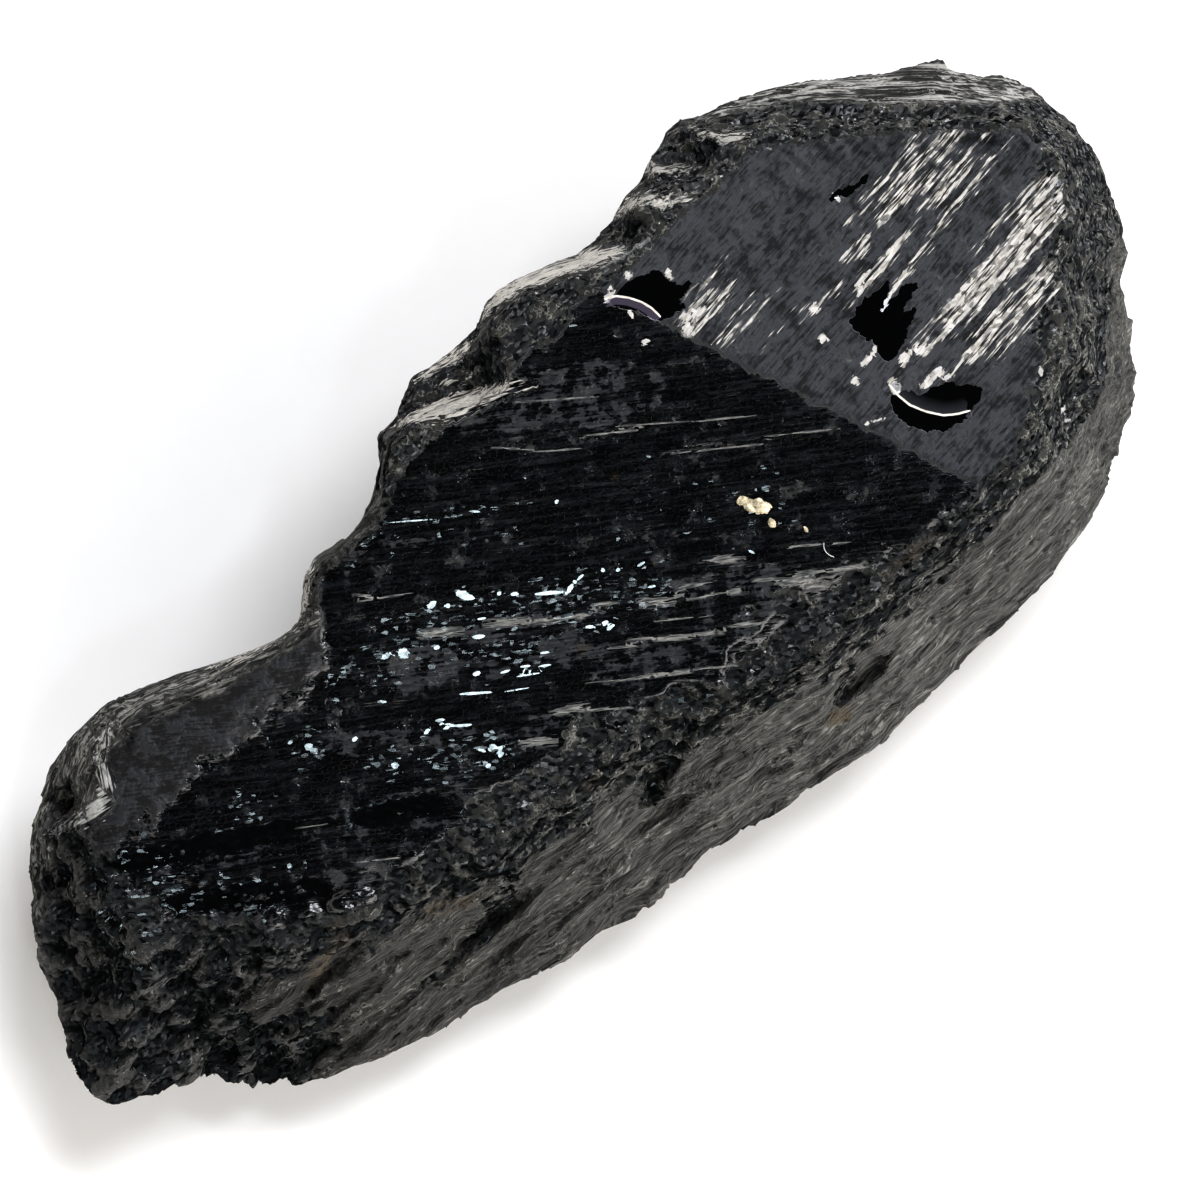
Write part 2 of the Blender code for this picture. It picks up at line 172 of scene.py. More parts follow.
# Patches: X and Y, half length, half width, direction in degrees, strength. Those where small
# bright facets sparkle, and those where the head's fibres shine white.
SPARKLES = [
    (-14.0, 5.8, 5.5, 2.0, -20.0, 0.8),
    (-8.0, 3.0, 8.0, 3.0, -33.0, 0.8),
    (-14.6, -2.8, 4.6, 1.5, -30.0, 1.0),
    (-2.0, 0.6, 7.0, 1.8, -33.0, 1.0),
    (-22.6, 5.4, 1.8, 1.3, 0.0, 0.8),
    (-18.6, 0.2, 3.0, 1.6, -33.0, 0.7),
    (-39.5, 5.4, 4.6, 3.8, 40.0, 0.62),
    (-34.0, 1.0, 5.0, 3.0, -33.0, 0.45),
    (-29.6, 5.6, 2.4, 1.2, -33.0, 0.6),
    (-36.0, 1.6, 5.0, 2.0, -33.0, 0.35),
    (-7.0, 11.8, 9.0, 2.2, -38.0, 0.3),
    (9.0, -0.5, 6.0, 4.0, -33.0, 0.15),
]
STREAKS = [
    (36.5, -2.0, 8.4, 1.3, 4.0, 0.95),
    (41.0, -0.6, 3.4, 0.9, 4.0, 0.8),
    (35.5, -4.9, 7.5, 1.0, 5.0, 0.8),
    (34.5, -6.3, 5.5, 0.5, 6.0, 0.6),
    (38.5, 0.3, 5.5, 0.5, 6.0, 0.6),
    (31.8, 2.2, 5.0, 0.35, 8.0, 0.85),
    (30.5, 3.7, 4.2, 0.5, 8.0, 0.85),
    (37.0, 3.2, 6.0, 0.55, 8.0, 0.65),
    (37.5, 4.8, 6.5, 0.8, 8.0, 0.65),
    (36.8, 6.8, 5.4, 1.2, 8.0, 0.75),
    (37.5, 8.6, 3.4, 0.6, 10.0, 0.65),
    (29.6, 5.6, 1.6, 0.7, 8.0, 0.8),
    (33.0, 7.8, 3.0, 0.6, 8.0, 0.55),
    (19.0, 9.6, 3.2, 1.1, 4.0, 0.65),
    (20.5, 7.4, 3.4, 0.9, 6.0, 0.55),
    (20.5, 11.2, 3.0, 0.5, 0.0, 0.5),
    (21.5, 5.0, 3.0, 0.5, 5.0, 0.4),
    (26.5, 4.5, 3.6, 0.5, 5.0, 0.5),
    (30.5, -11.2, 2.5, 0.6, 8.0, 0.3),
    (33.0, -9.3, 2.0, 0.4, 10.0, 0.25),
]
# Smooth grey skins on the main face, their grey partly their own and partly a painted sheen.
SKINS = [
    (-13.2, 4.0, 3.4, 1.7, -28.0, 1.0),
    (-7.4, 2.6, 4.0, 0.9, -33.0, 0.9),
    (-20.0, 3.0, 3.4, 1.3, -33.0, 0.7),
    (-15.0, -1.0, 2.2, 0.9, -33.0, 0.9),
    (-4.6, -1.6, 3.2, 1.3, -33.0, 0.95),
    (-9.6, 0.8, 1.6, 0.8, -33.0, 0.8),
    (-20.0, -3.2, 7.0, 2.2, -33.0, 0.5),
    (1.0, -7.6, 9.0, 2.6, -33.0, 0.55),
    (8.0, -7.6, 7.0, 2.6, -36.0, 0.55),
    (7.4, 11.4, 8.0, 2.8, -35.0, 0.7),
    (-9.6, 12.6, 4.6, 0.8, -33.0, 0.5),
    (-26.5, 0.4, 5.0, 1.3, -33.0, 0.5),
    (-34.0, 4.2, 3.4, 0.7, -33.0, 0.6),
    (-25.0, -4.6, 5.0, 1.0, -33.0, 0.6),
    (-10.0, -4.6, 3.6, 1.2, -33.0, 0.6),
]
# Drawn dashes: X and Y, half length, half width, direction. Mirror-bright ones on the main face.
GLINTS = [
    (-14.6, 6.6, 0.35, 0.18, -15.0), (-13.5, 5.9, 0.36, 0.33, -60.0),
    (-9.7, 7.1, 0.38, 0.22, -10.0), (-7.5, 6.0, 0.65, 0.28, -62.0), (-8.9, 6.3, 0.15, 0.15, 0.0),
    (-11.5, 4.6, 0.2, 0.16, -30.0), (-5.6, 4.5, 0.15, 0.12, 0.0), (-4.8, 3.75, 0.28, 0.14, -30.0),
    (-8.75, 3.2, 0.42, 0.13, -35.0), (-7.7, 4.0, 0.35, 0.08, -33.0),
    (-3.0, 2.2, 0.95, 0.14, -38.0), (-1.6, 1.4, 0.4, 0.16, 15.0), (-0.5, 1.5, 0.3, 0.1, 0.0),
    (-10.6, 1.35, 0.3, 0.15, -20.0), (-11.6, 0.35, 1.15, 0.1, -38.0),
    (-14.0, -0.6, 0.85, 0.1, -38.0), (-14.7, -0.1, 0.3, 0.12, -20.0),
    (-16.0, 0.65, 0.25, 0.15, 0.0), (-19.35, 0.35, 0.25, 0.2, -40.0),
    (-14.8, 0.6, 0.3, 0.14, -30.0), (-23.0, 5.5, 0.3, 0.25, -40.0), (-23.8, 6.6, 0.2, 0.12, 0.0),
    (-22.9, 4.9, 0.2, 0.15, 0.0), (-20.2, 3.7, 0.2, 0.15, 0.0), (-9.0, 0.1, 0.35, 0.09, -25.0),
    (-7.7, -0.6, 0.35, 0.08, -35.0), (-6.6, -1.5, 0.4, 0.07, -35.0),
    (-6.0, -0.8, 0.3, 0.08, -35.0), (-1.4, -2.1, 0.25, 0.15, 0.0), (-2.4, -1.6, 0.3, 0.12, -40.0),
    (-1.3, -2.6, 0.3, 0.1, 0.0), (2.8, -2.4, 0.3, 0.1, -30.0), (1.0, 0.8, 0.15, 0.15, 0.0),
    (1.8, 0.1, 0.15, 0.12, 0.0), (3.3, -0.7, 0.3, 0.1, -10.0), (-6.9, 12.6, 1.6, 0.05, -38.0),
    (-3.0, 10.0, 0.4, 0.07, -45.0), (1.8, 6.6, 0.15, 0.12, 0.0), (-13.3, -3.3, 0.2, 0.2, 0.0),
    (-12.9, -3.7, 0.3, 0.12, -30.0), (-14.0, -3.0, 0.3, 0.1, -60.0),
    (-13.2, -4.1, 0.25, 0.15, 0.0), (-14.4, -4.1, 0.2, 0.15, 0.0), (-7.9, -1.2, 0.9, 0.06, -33.0),
    (-9.3, -1.4, 0.9, 0.05, -33.0), (9.7, -5.3, 0.25, 0.08, -70.0),
    (11.0, 15.1, 0.3, 0.07, -35.0), (-17.0, 4.4, 0.3, 0.1, -45.0), (-29.8, 0.1, 0.15, 0.15, 0.0),
    (-36.0, 8.7, 0.3, 0.2, 40.0),
]
# Pale satin ones, mostly long and thin: painted highlights where slopes of the striae catch the light.
SCRATCH_HIGHLIGHTS = [
    (-4.4, 0.8, 0.9, 0.22, -38.0), (-2.6, -0.4, 1.4, 0.16, -35.0), (2.3, -3.4, 1.3, 0.35, -38.0),
    (3.6, -4.1, 0.5, 0.12, -20.0), (5.2, -4.4, 1.4, 0.12, -35.0), (7.9, -4.4, 1.4, 0.25, -38.0),
    (0.2, -5.0, 1.5, 0.1, -38.0), (1.6, -6.2, 1.4, 0.18, -38.0), (3.6, -7.6, 1.0, 0.14, -38.0),
    (6.0, -8.9, 1.4, 0.16, -38.0), (-1.5, -4.3, 1.2, 0.08, -36.0), (-7.4, -5.0, 1.4, 0.28, -30.0),
    (-10.6, -5.2, 1.3, 0.3, -38.0), (9.2, -7.5, 1.0, 0.12, -38.0), (10.6, -8.9, 1.3, 0.28, -38.0),
    (12.0, -9.3, 1.6, 0.12, -38.0), (13.9, -10.7, 1.5, 0.14, -38.0),
    (11.2, -10.0, 1.4, 0.08, -38.0), (7.0, -6.6, 0.4, 0.25, -20.0),
    (12.8, -7.5, 1.8, 0.08, -36.0), (14.2, -8.6, 1.4, 0.06, -36.0), (8.0, 7.6, 2.0, 0.06, -36.0),
    (4.4, 9.2, 1.6, 0.06, -38.0), (10.5, 6.2, 2.6, 0.05, -38.0), (14.6, 3.0, 2.2, 0.06, -36.0),
    (2.0, 11.5, 1.4, 0.06, -45.0), (6.4, 12.2, 3.2, 0.06, -38.0), (-11.9, 9.8, 2.0, 0.06, -33.0),
    (-12.8, 10.8, 0.8, 0.07, -45.0), (18.0, -1.4, 2.6, 0.06, -36.0),
    (13.0, 1.6, 3.4, 0.06, -36.0), (-5.6, -6.6, 2.0, 0.1, -38.0), (-2.0, -6.8, 4.0, 0.08, -36.0),
    (0.8, -8.6, 3.4, 0.08, -36.0), (3.0, -5.6, 2.0, 0.07, -36.0), (17.4, 16.35, 2.2, 0.1, -12.0),
    (-6.6, 2.6, 1.6, 0.3, -38.0), (-28.0, 2.0, 2.6, 0.06, -33.0), (-24.0, -4.4, 2.6, 0.06, -36.0),
    (-10.6, 5.2, 1.6, 0.3, -38.0), (-0.6, -1.0, 1.0, 0.12, -38.0), (5.4, -5.6, 1.6, 0.08, -30.0),
]
# White broken clumps on the head, beside the pools. Their white is partly their own and partly a painted
# highlight.
CLUMPS = [
    (25.1, -3.4, 0.55, 0.28, 75.0), (26.9, -2.35, 0.5, 0.32, 10.0),
    (28.3, -2.7, 0.7, 0.28, -28.0), (26.75, -4.7, 0.35, 0.28, 0.0),
    (27.9, -4.65, 0.6, 0.25, -5.0), (28.3, -5.4, 0.2, 0.2, 0.0), (24.9, -0.65, 0.5, 0.18, 5.0),
    (25.8, -0.5, 0.35, 0.12, 50.0), (23.3, -1.2, 0.25, 0.3, 0.0), (23.6, 2.5, 0.25, 0.3, 0.0),
    (27.9, 3.3, 0.4, 0.15, 20.0), (28.6, 3.85, 0.7, 0.15, 5.0), (28.9, 1.55, 0.9, 0.13, 18.0),
    (30.6, 2.0, 0.9, 0.1, 18.0), (14.3, 14.9, 0.5, 0.2, 10.0), (14.7, 15.25, 0.3, 0.12, 30.0),
    (16.3, 15.15, 0.22, 0.25, 70.0), (18.55, 13.3, 0.2, 0.35, -10.0),
    (16.9, 9.4, 0.45, 0.4, 40.0), (17.4, 10.1, 0.45, 0.4, 10.0), (18.4, 9.9, 0.4, 0.3, 0.0),
    (14.6, 12.9, 0.15, 0.35, -20.0), (14.1, 10.8, 0.3, 0.2, 0.0), (22.7, -4.4, 0.35, 0.1, -20.0),
    (21.9, -4.0, 0.2, 0.12, 0.0), (24.6, 4.6, 0.3, 0.35, 0.0), (31.1, 9.4, 0.12, 0.3, 0.0),
    (33.6, -9.5, 0.25, 0.15, 60.0), (33.2, -12.7, 0.35, 0.1, 10.0),
    (32.9, -13.5, 0.3, 0.12, -30.0),
]
# Glassy pools where a flake parted, drawn round.
POOLS = [
    [(24.9, -3.4), (24.2, -3.9), (23.7, -4.8), (23.9, -6.2), (24.6, -7.2), (25.6, -8.2),
     (27.2, -8.4), (28.9, -8.2), (29.9, -7.6), (29.0, -6.6), (28.4, -5.7), (27.2, -5.3),
     (26.0, -5.0), (25.6, -4.2)],
    [(25.5, 1.4), (26.0, 2.4), (27.2, 2.8), (28.6, 2.6), (30.2, 2.9), (29.6, 2.0), (28.2, 1.4),
     (30.6, 1.4), (31.2, 0.9), (29.0, 0.3), (30.2, -0.3), (28.8, -1.0), (27.8, -1.6),
     (26.4, -1.8), (25.7, -1.4), (26.2, -0.4), (25.8, 0.4)],
    [(14.2, 14.8), (15.4, 14.8), (16.8, 14.6), (17.8, 14.0), (18.2, 13.0), (18.6, 12.2),
     (19.4, 11.8), (17.8, 11.4), (17.7, 10.7), (16.6, 10.9), (15.8, 11.2), (15.2, 12.2),
     (14.6, 13.4), (13.8, 14.3)],
    [(30.8, 9.6), (31.6, 9.8), (32.6, 9.4), (34.0, 9.3), (34.4, 8.7), (33.0, 8.6), (31.8, 8.9)],
]
POOL_DEPTH = 0.05
# The lit steps in the glass of two pools, drawn downwards along the foot, are painted white as
# highlights. Right of the first one the glass is painted grey, and left of the second lilac, as painted
# reflection.
GREY_ARC = [
    (24.9, -3.0), (24.85, -4.0), (25.0, -5.0), (25.5, -6.1), (26.3, -7.2), (27.1, -7.8),
    (27.9, -8.2),
]
LILAC_ARC = [(13.9, 15.0), (14.7, 14.6), (15.3, 13.9), (15.75, 13.1), (16.0, 12.3), (16.05, 11.4)]
# Dark broken hollows on the flank, along the crest and between the ledges.
HOLLOWS = [
    (-38.9, 14.1, 0.9, 0.5, 15.0, 1.0), (-37.9, 14.9, 0.6, 0.35, 30.0, 1.0),
    (-44.0, 11.0, 0.5, 0.3, 30.0, 0.9), (-46.0, 4.8, 1.0, 0.5, 10.0, 0.9),
    (-44.4, -1.2, 1.8, 1.6, 20.0, 0.8), (-42.0, -2.8, 1.0, 0.7, 20.0, 0.8),
    (-42.5, -8.6, 1.6, 1.2, -40.0, 1.0), (-40.2, -9.6, 2.2, 1.4, -25.0, 1.0),
    (-37.8, -10.4, 1.8, 1.1, -20.0, 1.0), (-38.5, -8.2, 2.0, 0.7, -10.0, 0.9),
    (-35.6, -9.8, 1.2, 0.6, -10.0, 0.8), (-21.0, -12.1, 2.0, 0.7, 8.0, 1.0),
    (-23.2, -12.9, 1.2, 0.5, 5.0, 1.0), (-27.5, -12.9, 2.5, 0.25, 0.0, 0.8),
    (-18.9, -11.2, 0.7, 0.6, 30.0, 0.9), (-6.6, -12.9, 1.6, 0.8, 30.0, 1.0),
    (-3.6, -11.4, 1.8, 1.3, 20.0, 1.0), (-1.2, -10.0, 1.8, 1.2, -20.0, 1.0),
    (-0.4, -11.2, 1.0, 0.8, 0.0, 0.9), (-2.6, -9.2, 1.4, 0.7, 0.0, 1.0),
    (0.6, -10.8, 0.7, 0.5, 0.0, 0.9), (3.8, -11.2, 1.4, 0.7, 10.0, 0.9),
    (7.6, -11.6, 1.8, 0.8, -5.0, 0.9), (9.4, -10.4, 0.9, 1.7, -5.0, 1.0),
    (12.4, -11.8, 2.2, 0.8, -10.0, 0.8), (15.6, -12.3, 1.5, 0.7, 0.0, 0.8),
    (10.4, -12.8, 2.0, 0.4, 0.0, 0.8), (8.3, -16.9, 1.2, 0.5, 20.0, 1.0),
    (9.8, -16.4, 1.6, 0.3, 22.0, 0.9), (7.6, -17.4, 0.6, 0.4, 0.0, 0.9),
    (33.6, -10.8, 1.0, 1.0, 0.0, 1.0), (35.0, -12.2, 1.6, 1.3, 10.0, 1.0),
    (37.0, -11.6, 1.2, 0.8, 30.0, 0.9), (36.4, -9.2, 1.0, 0.7, 0.0, 0.9),
    (31.9, -12.0, 0.7, 0.7, 0.0, 0.9), (-24.5, -6.2, 1.6, 0.8, -10.0, 0.9),
    (-20.6, -6.5, 2.2, 0.8, -4.0, 1.0), (-17.0, -6.2, 1.8, 0.9, 0.0, 1.0),
    (-13.4, -6.8, 2.0, 0.7, -5.0, 1.0), (-9.6, -7.6, 1.8, 0.8, -8.0, 1.0),
    (-7.6, -7.0, 1.4, 1.1, -20.0, 1.0), (-5.0, -7.9, 1.2, 0.5, -25.0, 0.9),
    (-2.8, -8.6, 0.8, 0.3, -30.0, 0.9), (0.4, 18.3, 0.4, 0.35, 0.0, 1.0),
    (5.6, 17.9, 1.6, 1.0, -20.0, 1.0), (9.0, 18.2, 1.2, 0.8, -20.0, 1.0),
    (18.4, 17.9, 1.4, 0.6, -20.0, 1.0), (22.2, 18.9, 0.7, 0.7, -40.0, 1.0),
    (24.0, 17.4, 1.4, 0.7, -35.0, 1.0), (26.4, 19.2, 0.9, 1.4, -10.0, 1.0),
    (28.9, 19.6, 1.3, 0.7, -40.0, 1.0), (29.2, 18.0, 0.9, 0.5, -40.0, 1.0),
    (31.4, 18.2, 1.2, 0.5, -40.0, 1.0), (13.2, 16.6, 1.6, 0.5, -15.0, 0.9),
    (3.4, 18.2, 1.0, 0.5, -20.0, 1.0), (7.4, 18.6, 0.9, 0.6, -30.0, 1.0),
    (7.6, 17.0, 1.8, 0.6, -20.0, 0.9), (11.0, 17.6, 1.4, 0.5, -25.0, 1.0),
    (20.0, 17.2, 0.9, 0.5, -30.0, 1.0), (25.6, 20.4, 0.7, 0.6, 0.0, 1.0),
    (27.6, 19.9, 0.6, 0.7, -50.0, 1.0), (30.6, 19.2, 0.7, 0.4, -40.0, 1.0),
    (-2.0, 18.6, 1.0, 0.4, -20.0, 0.9), (33.8, 15.4, 1.6, 0.5, -42.0, 0.9),
    (36.0, 13.2, 1.8, 0.5, -42.0, 0.9), (38.6, 11.0, 1.6, 0.5, -42.0, 0.9),
    (41.0, 8.4, 1.8, 0.5, -42.0, 0.9), (43.4, 6.2, 1.4, 0.5, -45.0, 0.9),
    (45.4, 2.6, 0.8, 1.0, -20.0, 0.9), (44.8, -1.0, 0.6, 1.2, 0.0, 0.9),
    (43.8, -4.4, 0.6, 1.4, -15.0, 0.9), (41.6, -7.6, 0.7, 1.0, -30.0, 0.9),
    (38.8, -9.8, 1.0, 0.6, 25.0, 0.9),
]
# Brown and ochre stains on the flank.
STAINS = [
    (-33.0, -6.8, 1.8, 0.5, 15.0, 0.9),
    (-30.4, -6.0, 1.2, 0.6, 40.0, 0.6),
    (-23.4, -9.6, 1.8, 0.6, -25.0, 0.8),
    (-9.6, -10.0, 1.0, 0.4, 0.0, 0.6),
    (6.6, -18.3, 1.2, 0.4, 0.0, 1.0),
    (17.6, -12.9, 2.4, 0.4, -5.0, 0.7),
    (-3.8, -2.4, 0.5, 0.3, -30.0, 0.5),
    (6.1, 5.2, 0.3, 0.25, 0.0, 0.8),
]
# Where the broken back begins, above the smooth faces, then the dull finish, the crumbly end and
# the ribbed side.
BREAK_LINE = [
    (-53.0, 30.0), (-10.0, 30.0), (-9.0, 15.2), (-7.0, 14.8), (-5.0, 15.2), (-3.0, 15.4),
    (-1.0, 15.6), (1.0, 15.9), (3.0, 15.2), (4.6, 14.6), (6.0, 15.4), (8.0, 15.6), (10.0, 15.2),
    (12.0, 15.7), (13.0, 15.9), (16.0, 15.6), (19.5, 15.5), (24.0, 15.7), (28.0, 15.7),
    (30.0, 15.2), (33.0, 13.2), (37.0, 10.1), (40.5, 7.2), (43.5, 4.8), (45.2, 3.4), (46.4, 2.0),
    (60.0, 2.0),
]
DULL_LINE = [
    (-53.0, 12.0), (-41.0, 12.0), (-39.5, 9.4), (-35.0, 9.2), (-30.0, 9.8), (-25.0, 9.2),
    (-20.0, 8.8), (-17.4, 10.2), (-15.8, 13.0), (-15.0, 30.0), (60.0, 30.0),
]
END_LINE = [
    (-53.0, -4.4), (-46.0, -5.0), (-38.0, -4.8), (-32.0, -4.6), (-26.0, -5.4), (-20.0, -6.2),
    (60.0, -6.2),
]
RIBBED_LINE = [
    (-53.0, 40.0), (27.0, 40.0), (27.6, 20.0), (30.0, 18.6), (32.8, 17.0), (36.6, 13.6),
    (40.0, 10.2), (45.0, 6.0), (47.3, 4.6), (60.0, 4.6),
]
# Bright parted walls of the ledges and of the rim, drawn round. Their pale colour is a painted sheen.
WALLS = [
    [(-3.6, 18.7), (-1.0, 18.2), (1.5, 17.3), (3.0, 16.5), (5.0, 15.2), (6.2, 13.9), (4.6, 14.5),
     (3.0, 15.1), (1.3, 15.5), (0.0, 16.0), (-1.3, 16.8), (-2.2, 17.7)],
    [(0.0, 19.9), (1.5, 20.1), (3.2, 19.8), (5.4, 19.3), (4.2, 18.8), (3.0, 18.9), (1.8, 19.2),
     (0.6, 19.5)],
    [(1.1, 18.8), (2.0, 18.6), (3.2, 17.9), (3.4, 17.3), (2.4, 17.7), (1.2, 18.1)],
    [(6.2, 20.2), (8.6, 20.9), (10.5, 20.6), (12.0, 20.0), (13.6, 19.3), (15.0, 18.9),
     (16.0, 18.6), (16.4, 17.7), (17.6, 16.8), (17.0, 16.4), (15.6, 16.9), (14.0, 17.6),
     (12.0, 18.6), (10.4, 19.3), (8.4, 19.7), (6.6, 19.7)],
    [(18.0, 19.2), (20.2, 19.4), (21.4, 18.7), (22.0, 17.7), (22.8, 16.8), (24.4, 16.1),
     (22.4, 16.3), (21.2, 17.1), (20.4, 18.1), (19.4, 18.6)],
    [(22.2, 20.4), (23.0, 20.4), (23.6, 19.4), (24.6, 18.4), (25.4, 17.4), (24.4, 17.9),
     (23.2, 18.6), (22.4, 19.4)],
    [(26.9, 20.4), (27.4, 19.4), (28.2, 18.2), (29.4, 17.4), (29.8, 16.8), (28.6, 16.9),
     (27.6, 17.6), (27.1, 18.6), (26.6, 19.4)],
    [(-17.6, 13.1), (-16.4, 14.3), (-14.6, 15.3), (-13.8, 15.2), (-15.0, 14.0), (-16.2, 13.0),
     (-17.0, 12.7)],
    [(-26.4, 15.8), (-22.5, 14.2), (-20.0, 13.5), (-18.0, 13.0), (-17.0, 13.1), (-17.6, 12.4),
     (-20.0, 12.6), (-22.0, 13.2), (-24.0, 14.0)],
]
# The layered lip under the hole at the narrow end, and the layers right of it, drawn round.
# Their pale layers are a painted reflection of the floor.
LIPS = [
    [(-41.6, 13.6), (-39.8, 13.2), (-38.2, 12.9), (-36.4, 12.6), (-35.8, 12.0), (-37.0, 11.7),
     (-38.8, 11.9), (-40.0, 12.4), (-41.2, 12.9)],
    [(-36.6, 12.9), (-35.8, 13.8), (-35.4, 15.0), (-34.4, 15.9), (-32.4, 16.2), (-33.2, 15.6),
     (-34.4, 14.8), (-34.9, 13.6), (-35.4, 12.7)],
]


def linear(hex_colour):
    """The linear colour of an sRGB hex value such as #14171a."""
    parts = [int(hex_colour[i : i + 2], 16) / 255.0 for i in (1, 3, 5)]
    return tuple(p / 12.92 if p <= 0.04045 else ((p + 0.055) / 1.055) ** 2.4 for p in parts)


def column(rows, k):
    """One column of a list of rows."""
    return np.array([row[k] for row in rows], float)


def smooth_step(t):
    """0 below 0, 1 above 1, and an even curve between."""
    t = np.clip(t, 0.0, 1.0)
    return t * t * (3.0 - 2.0 * t)


def softer_min(a, b, blend):
    """The lower of two heights, rounded where they cross."""
    h = np.clip(0.5 + 0.5 * (b - a) / blend, 0.0, 1.0)
    return b + (a - b) * h - blend * h * (1.0 - h)


def turned(x, y, degrees):
    """How far along a direction, and how far to the left of it."""
    c, s = math.cos(math.radians(degrees)), math.sin(math.radians(degrees))
    return x * c + y * s, -x * s + y * c


def wander(x, y, z, seed):
    """Smooth noise of about -1 to 1 at each place, in two sizes."""
    places = [Vector(place) for place in zip(x, y, z + seed)]
    return np.array([noise.noise(place) + 0.5 * noise.noise(2.3 * place) for place in places])


def scattered(corners, salt):
    """Three even random numbers from 0 to 1 for each whole-numbered corner of a cell."""
    c = corners.astype(np.int64)
    mixed = salt * HASH_SALT
    for k, prime in enumerate(HASH_PRIMES):
        mixed = mixed ^ (c[:, k] * prime)
    out = []
    for k in range(3):
        h = (mixed + k * HASH_STEP) & HASH_MASK
        for _ in range(2):
            h = ((h ^ (h >> 16)) * HASH_MIXER) & HASH_MASK
        out.append((h ^ (h >> 16)) / (HASH_MASK + 1.0))
    return np.stack(out, 1)


def cells(places, salt):
    """A random cellular pattern. For each place: its distance from the nearest cell's centre, and a
    height that tilts each cell its own way."""
    base = np.floor(places)
    nearest_yet = np.full(len(places), np.inf)
    height = np.zeros(len(places))
    for step in np.ndindex(3, 3, 3):
        cell = base + np.array(step) - 1.0
        away = places - cell - scattered(cell, salt)
        distance = np.sqrt((away * away).sum(1))
        closer = distance < nearest_yet
        nearest_yet[closer] = distance[closer]
        tilt = scattered(cell[closer], salt + TILT_SALT) - 0.5
        height[closer] = (away[closer] * tilt).sum(1)
    return nearest_yet, height


def facets(places, salt):
    """Flat facets, one in each cell of a random cellular pattern, each tilted its own way: heights."""
    return cells(places, salt)[1]


def shells(places, salt):
    """Scooped shell-like chips with sharp ridges between them: heights of about -0.3 to 0.3."""
    away, tilted = cells(places, salt)
    return away * away - 0.25 + 0.5 * tilted


def above_line(rows, x, y):
    """How far each place lies above a line drawn across the plan."""
    return y - np.interp(x, column(rows, 0), column(rows, 1))


def inside_outline(rows, x, y):
    """Distance to a drawn outline, counted as positive inside it and negative outside."""
    total = np.full(x.shape, -3.0)
    near = (abs(x - column(rows, 0).mean()) < 9.0) & (abs(y - column(rows, 1).mean()) < 6.0)
    nx, ny = x[near], y[near]
    inside, away = np.zeros(nx.shape, bool), np.full(nx.shape, 9.0)
    for (ax, ay), (bx, by) in zip(rows, rows[1:] + rows[:1]):
        run = ((nx - ax) * (bx - ax) + (ny - ay) * (by - ay)) / ((bx - ax) ** 2 + (by - ay) ** 2)
        run = np.clip(run, 0.0, 1.0)
        away = np.minimum(away, np.hypot(nx - ax - run * (bx - ax), ny - ay - run * (by - ay)))
        if ay != by:
            inside ^= ((ay > ny) != (by > ny)) & (nx < (bx - ax) * (ny - ay) / (by - ay) + ax)
    total[near] = np.where(inside, away, np.maximum(-away, -3.0))
    return total


def beside_arc(rows, x, y):
    """Distance to the right of a drawn arc, and how far each place is past either of its ends."""
    px, py = points_along(rows, 0.05)
    total, beyond = np.full(x.shape, 9.0), np.full(x.shape, 9.0)
    near = (abs(x - px.mean()) < 5.0) & (abs(y - py.mean()) < 5.0)
    nx, ny = x[near], y[near]
    away = np.hypot(nx[:, None] - px, ny[:, None] - py)
    k = np.clip(away.argmin(1), 1, len(px) - 2)
    side = (px[k + 1] - px[k - 1]) * (ny - py[k]) - (py[k + 1] - py[k - 1]) * (nx - px[k])
    total[near] = away.min(1) * np.where(side > 0, 1.0, -1.0)
    beyond[near] = (away.argmin(1) < 1) | (away.argmin(1) > len(px) - 2)
    return total, beyond


def ellipse_fade(rows, x, y, ragged):
    """The strongest of several soft elliptical patches at each place."""
    total = np.zeros(x.shape)
    for centre_x, centre_y, half_length, half_width, degrees, strength in rows:
        along, across = turned(x - centre_x, y - centre_y, degrees)
        out = np.sqrt((along / half_length) ** 2 + (across / half_width) ** 2) + 0.25 * ragged
        total = np.maximum(total, strength * smooth_step((1.35 - out) / 0.7))
    return total


def nearest_dash(rows, x, y):
    """For the nearest drawn dash: how far each place is along it and across it, in its own half sizes,
    and how far away it is. The first two are even fields, so a fine mesh carries a sharp dash."""
    away = np.full(x.shape, 9.0)
    along, across = np.full(x.shape, 9.0), np.full(x.shape, 9.0)
    for centre_x, centre_y, half_length, half_width, degrees in rows:
        u, v = turned(x - centre_x, y - centre_y, degrees)
        here = np.hypot(np.maximum(abs(u) - half_length, 0.0), np.maximum(abs(v) - half_width, 0.0))
        closer = here < away
        away[closer] = here[closer]
        along[closer], across[closer] = u[closer] / half_length, v[closer] / half_width
    return np.clip(along, -12.0, 12.0), np.clip(across, -12.0, 12.0), away


def points_along(rows, spacing=0.4):
    """The line through these points, with a point every spacing or so."""
    x, y = column(rows, 0), column(rows, 1)
    run = np.concatenate([[0.0], np.cumsum(np.hypot(np.diff(x), np.diff(y)))])
    at = np.linspace(0.0, run[-1], int(run[-1] / spacing))
    return np.interp(at, run, x), np.interp(at, run, y)


def nearest(line, x, y):
    """For each place, its distance from the line and the X of the line's nearest point."""
    away = np.full(x.shape, np.inf)
    at = np.zeros(x.shape)
    for px, py in zip(*line):
        here = np.hypot(x - px, y - py)
        closer = here < away
        away[closer] = here[closer]
        at[closer] = px
    return away, at


def ribs(kind, x, y, seed):
    """Uneven ribs: long in one direction, short across it."""
    degrees, spacing, height = kind
    along, across = turned(x, y, degrees)
    return height * wander(across / spacing, along / (RIB_RUN * spacing), 0.0 * x, seed)


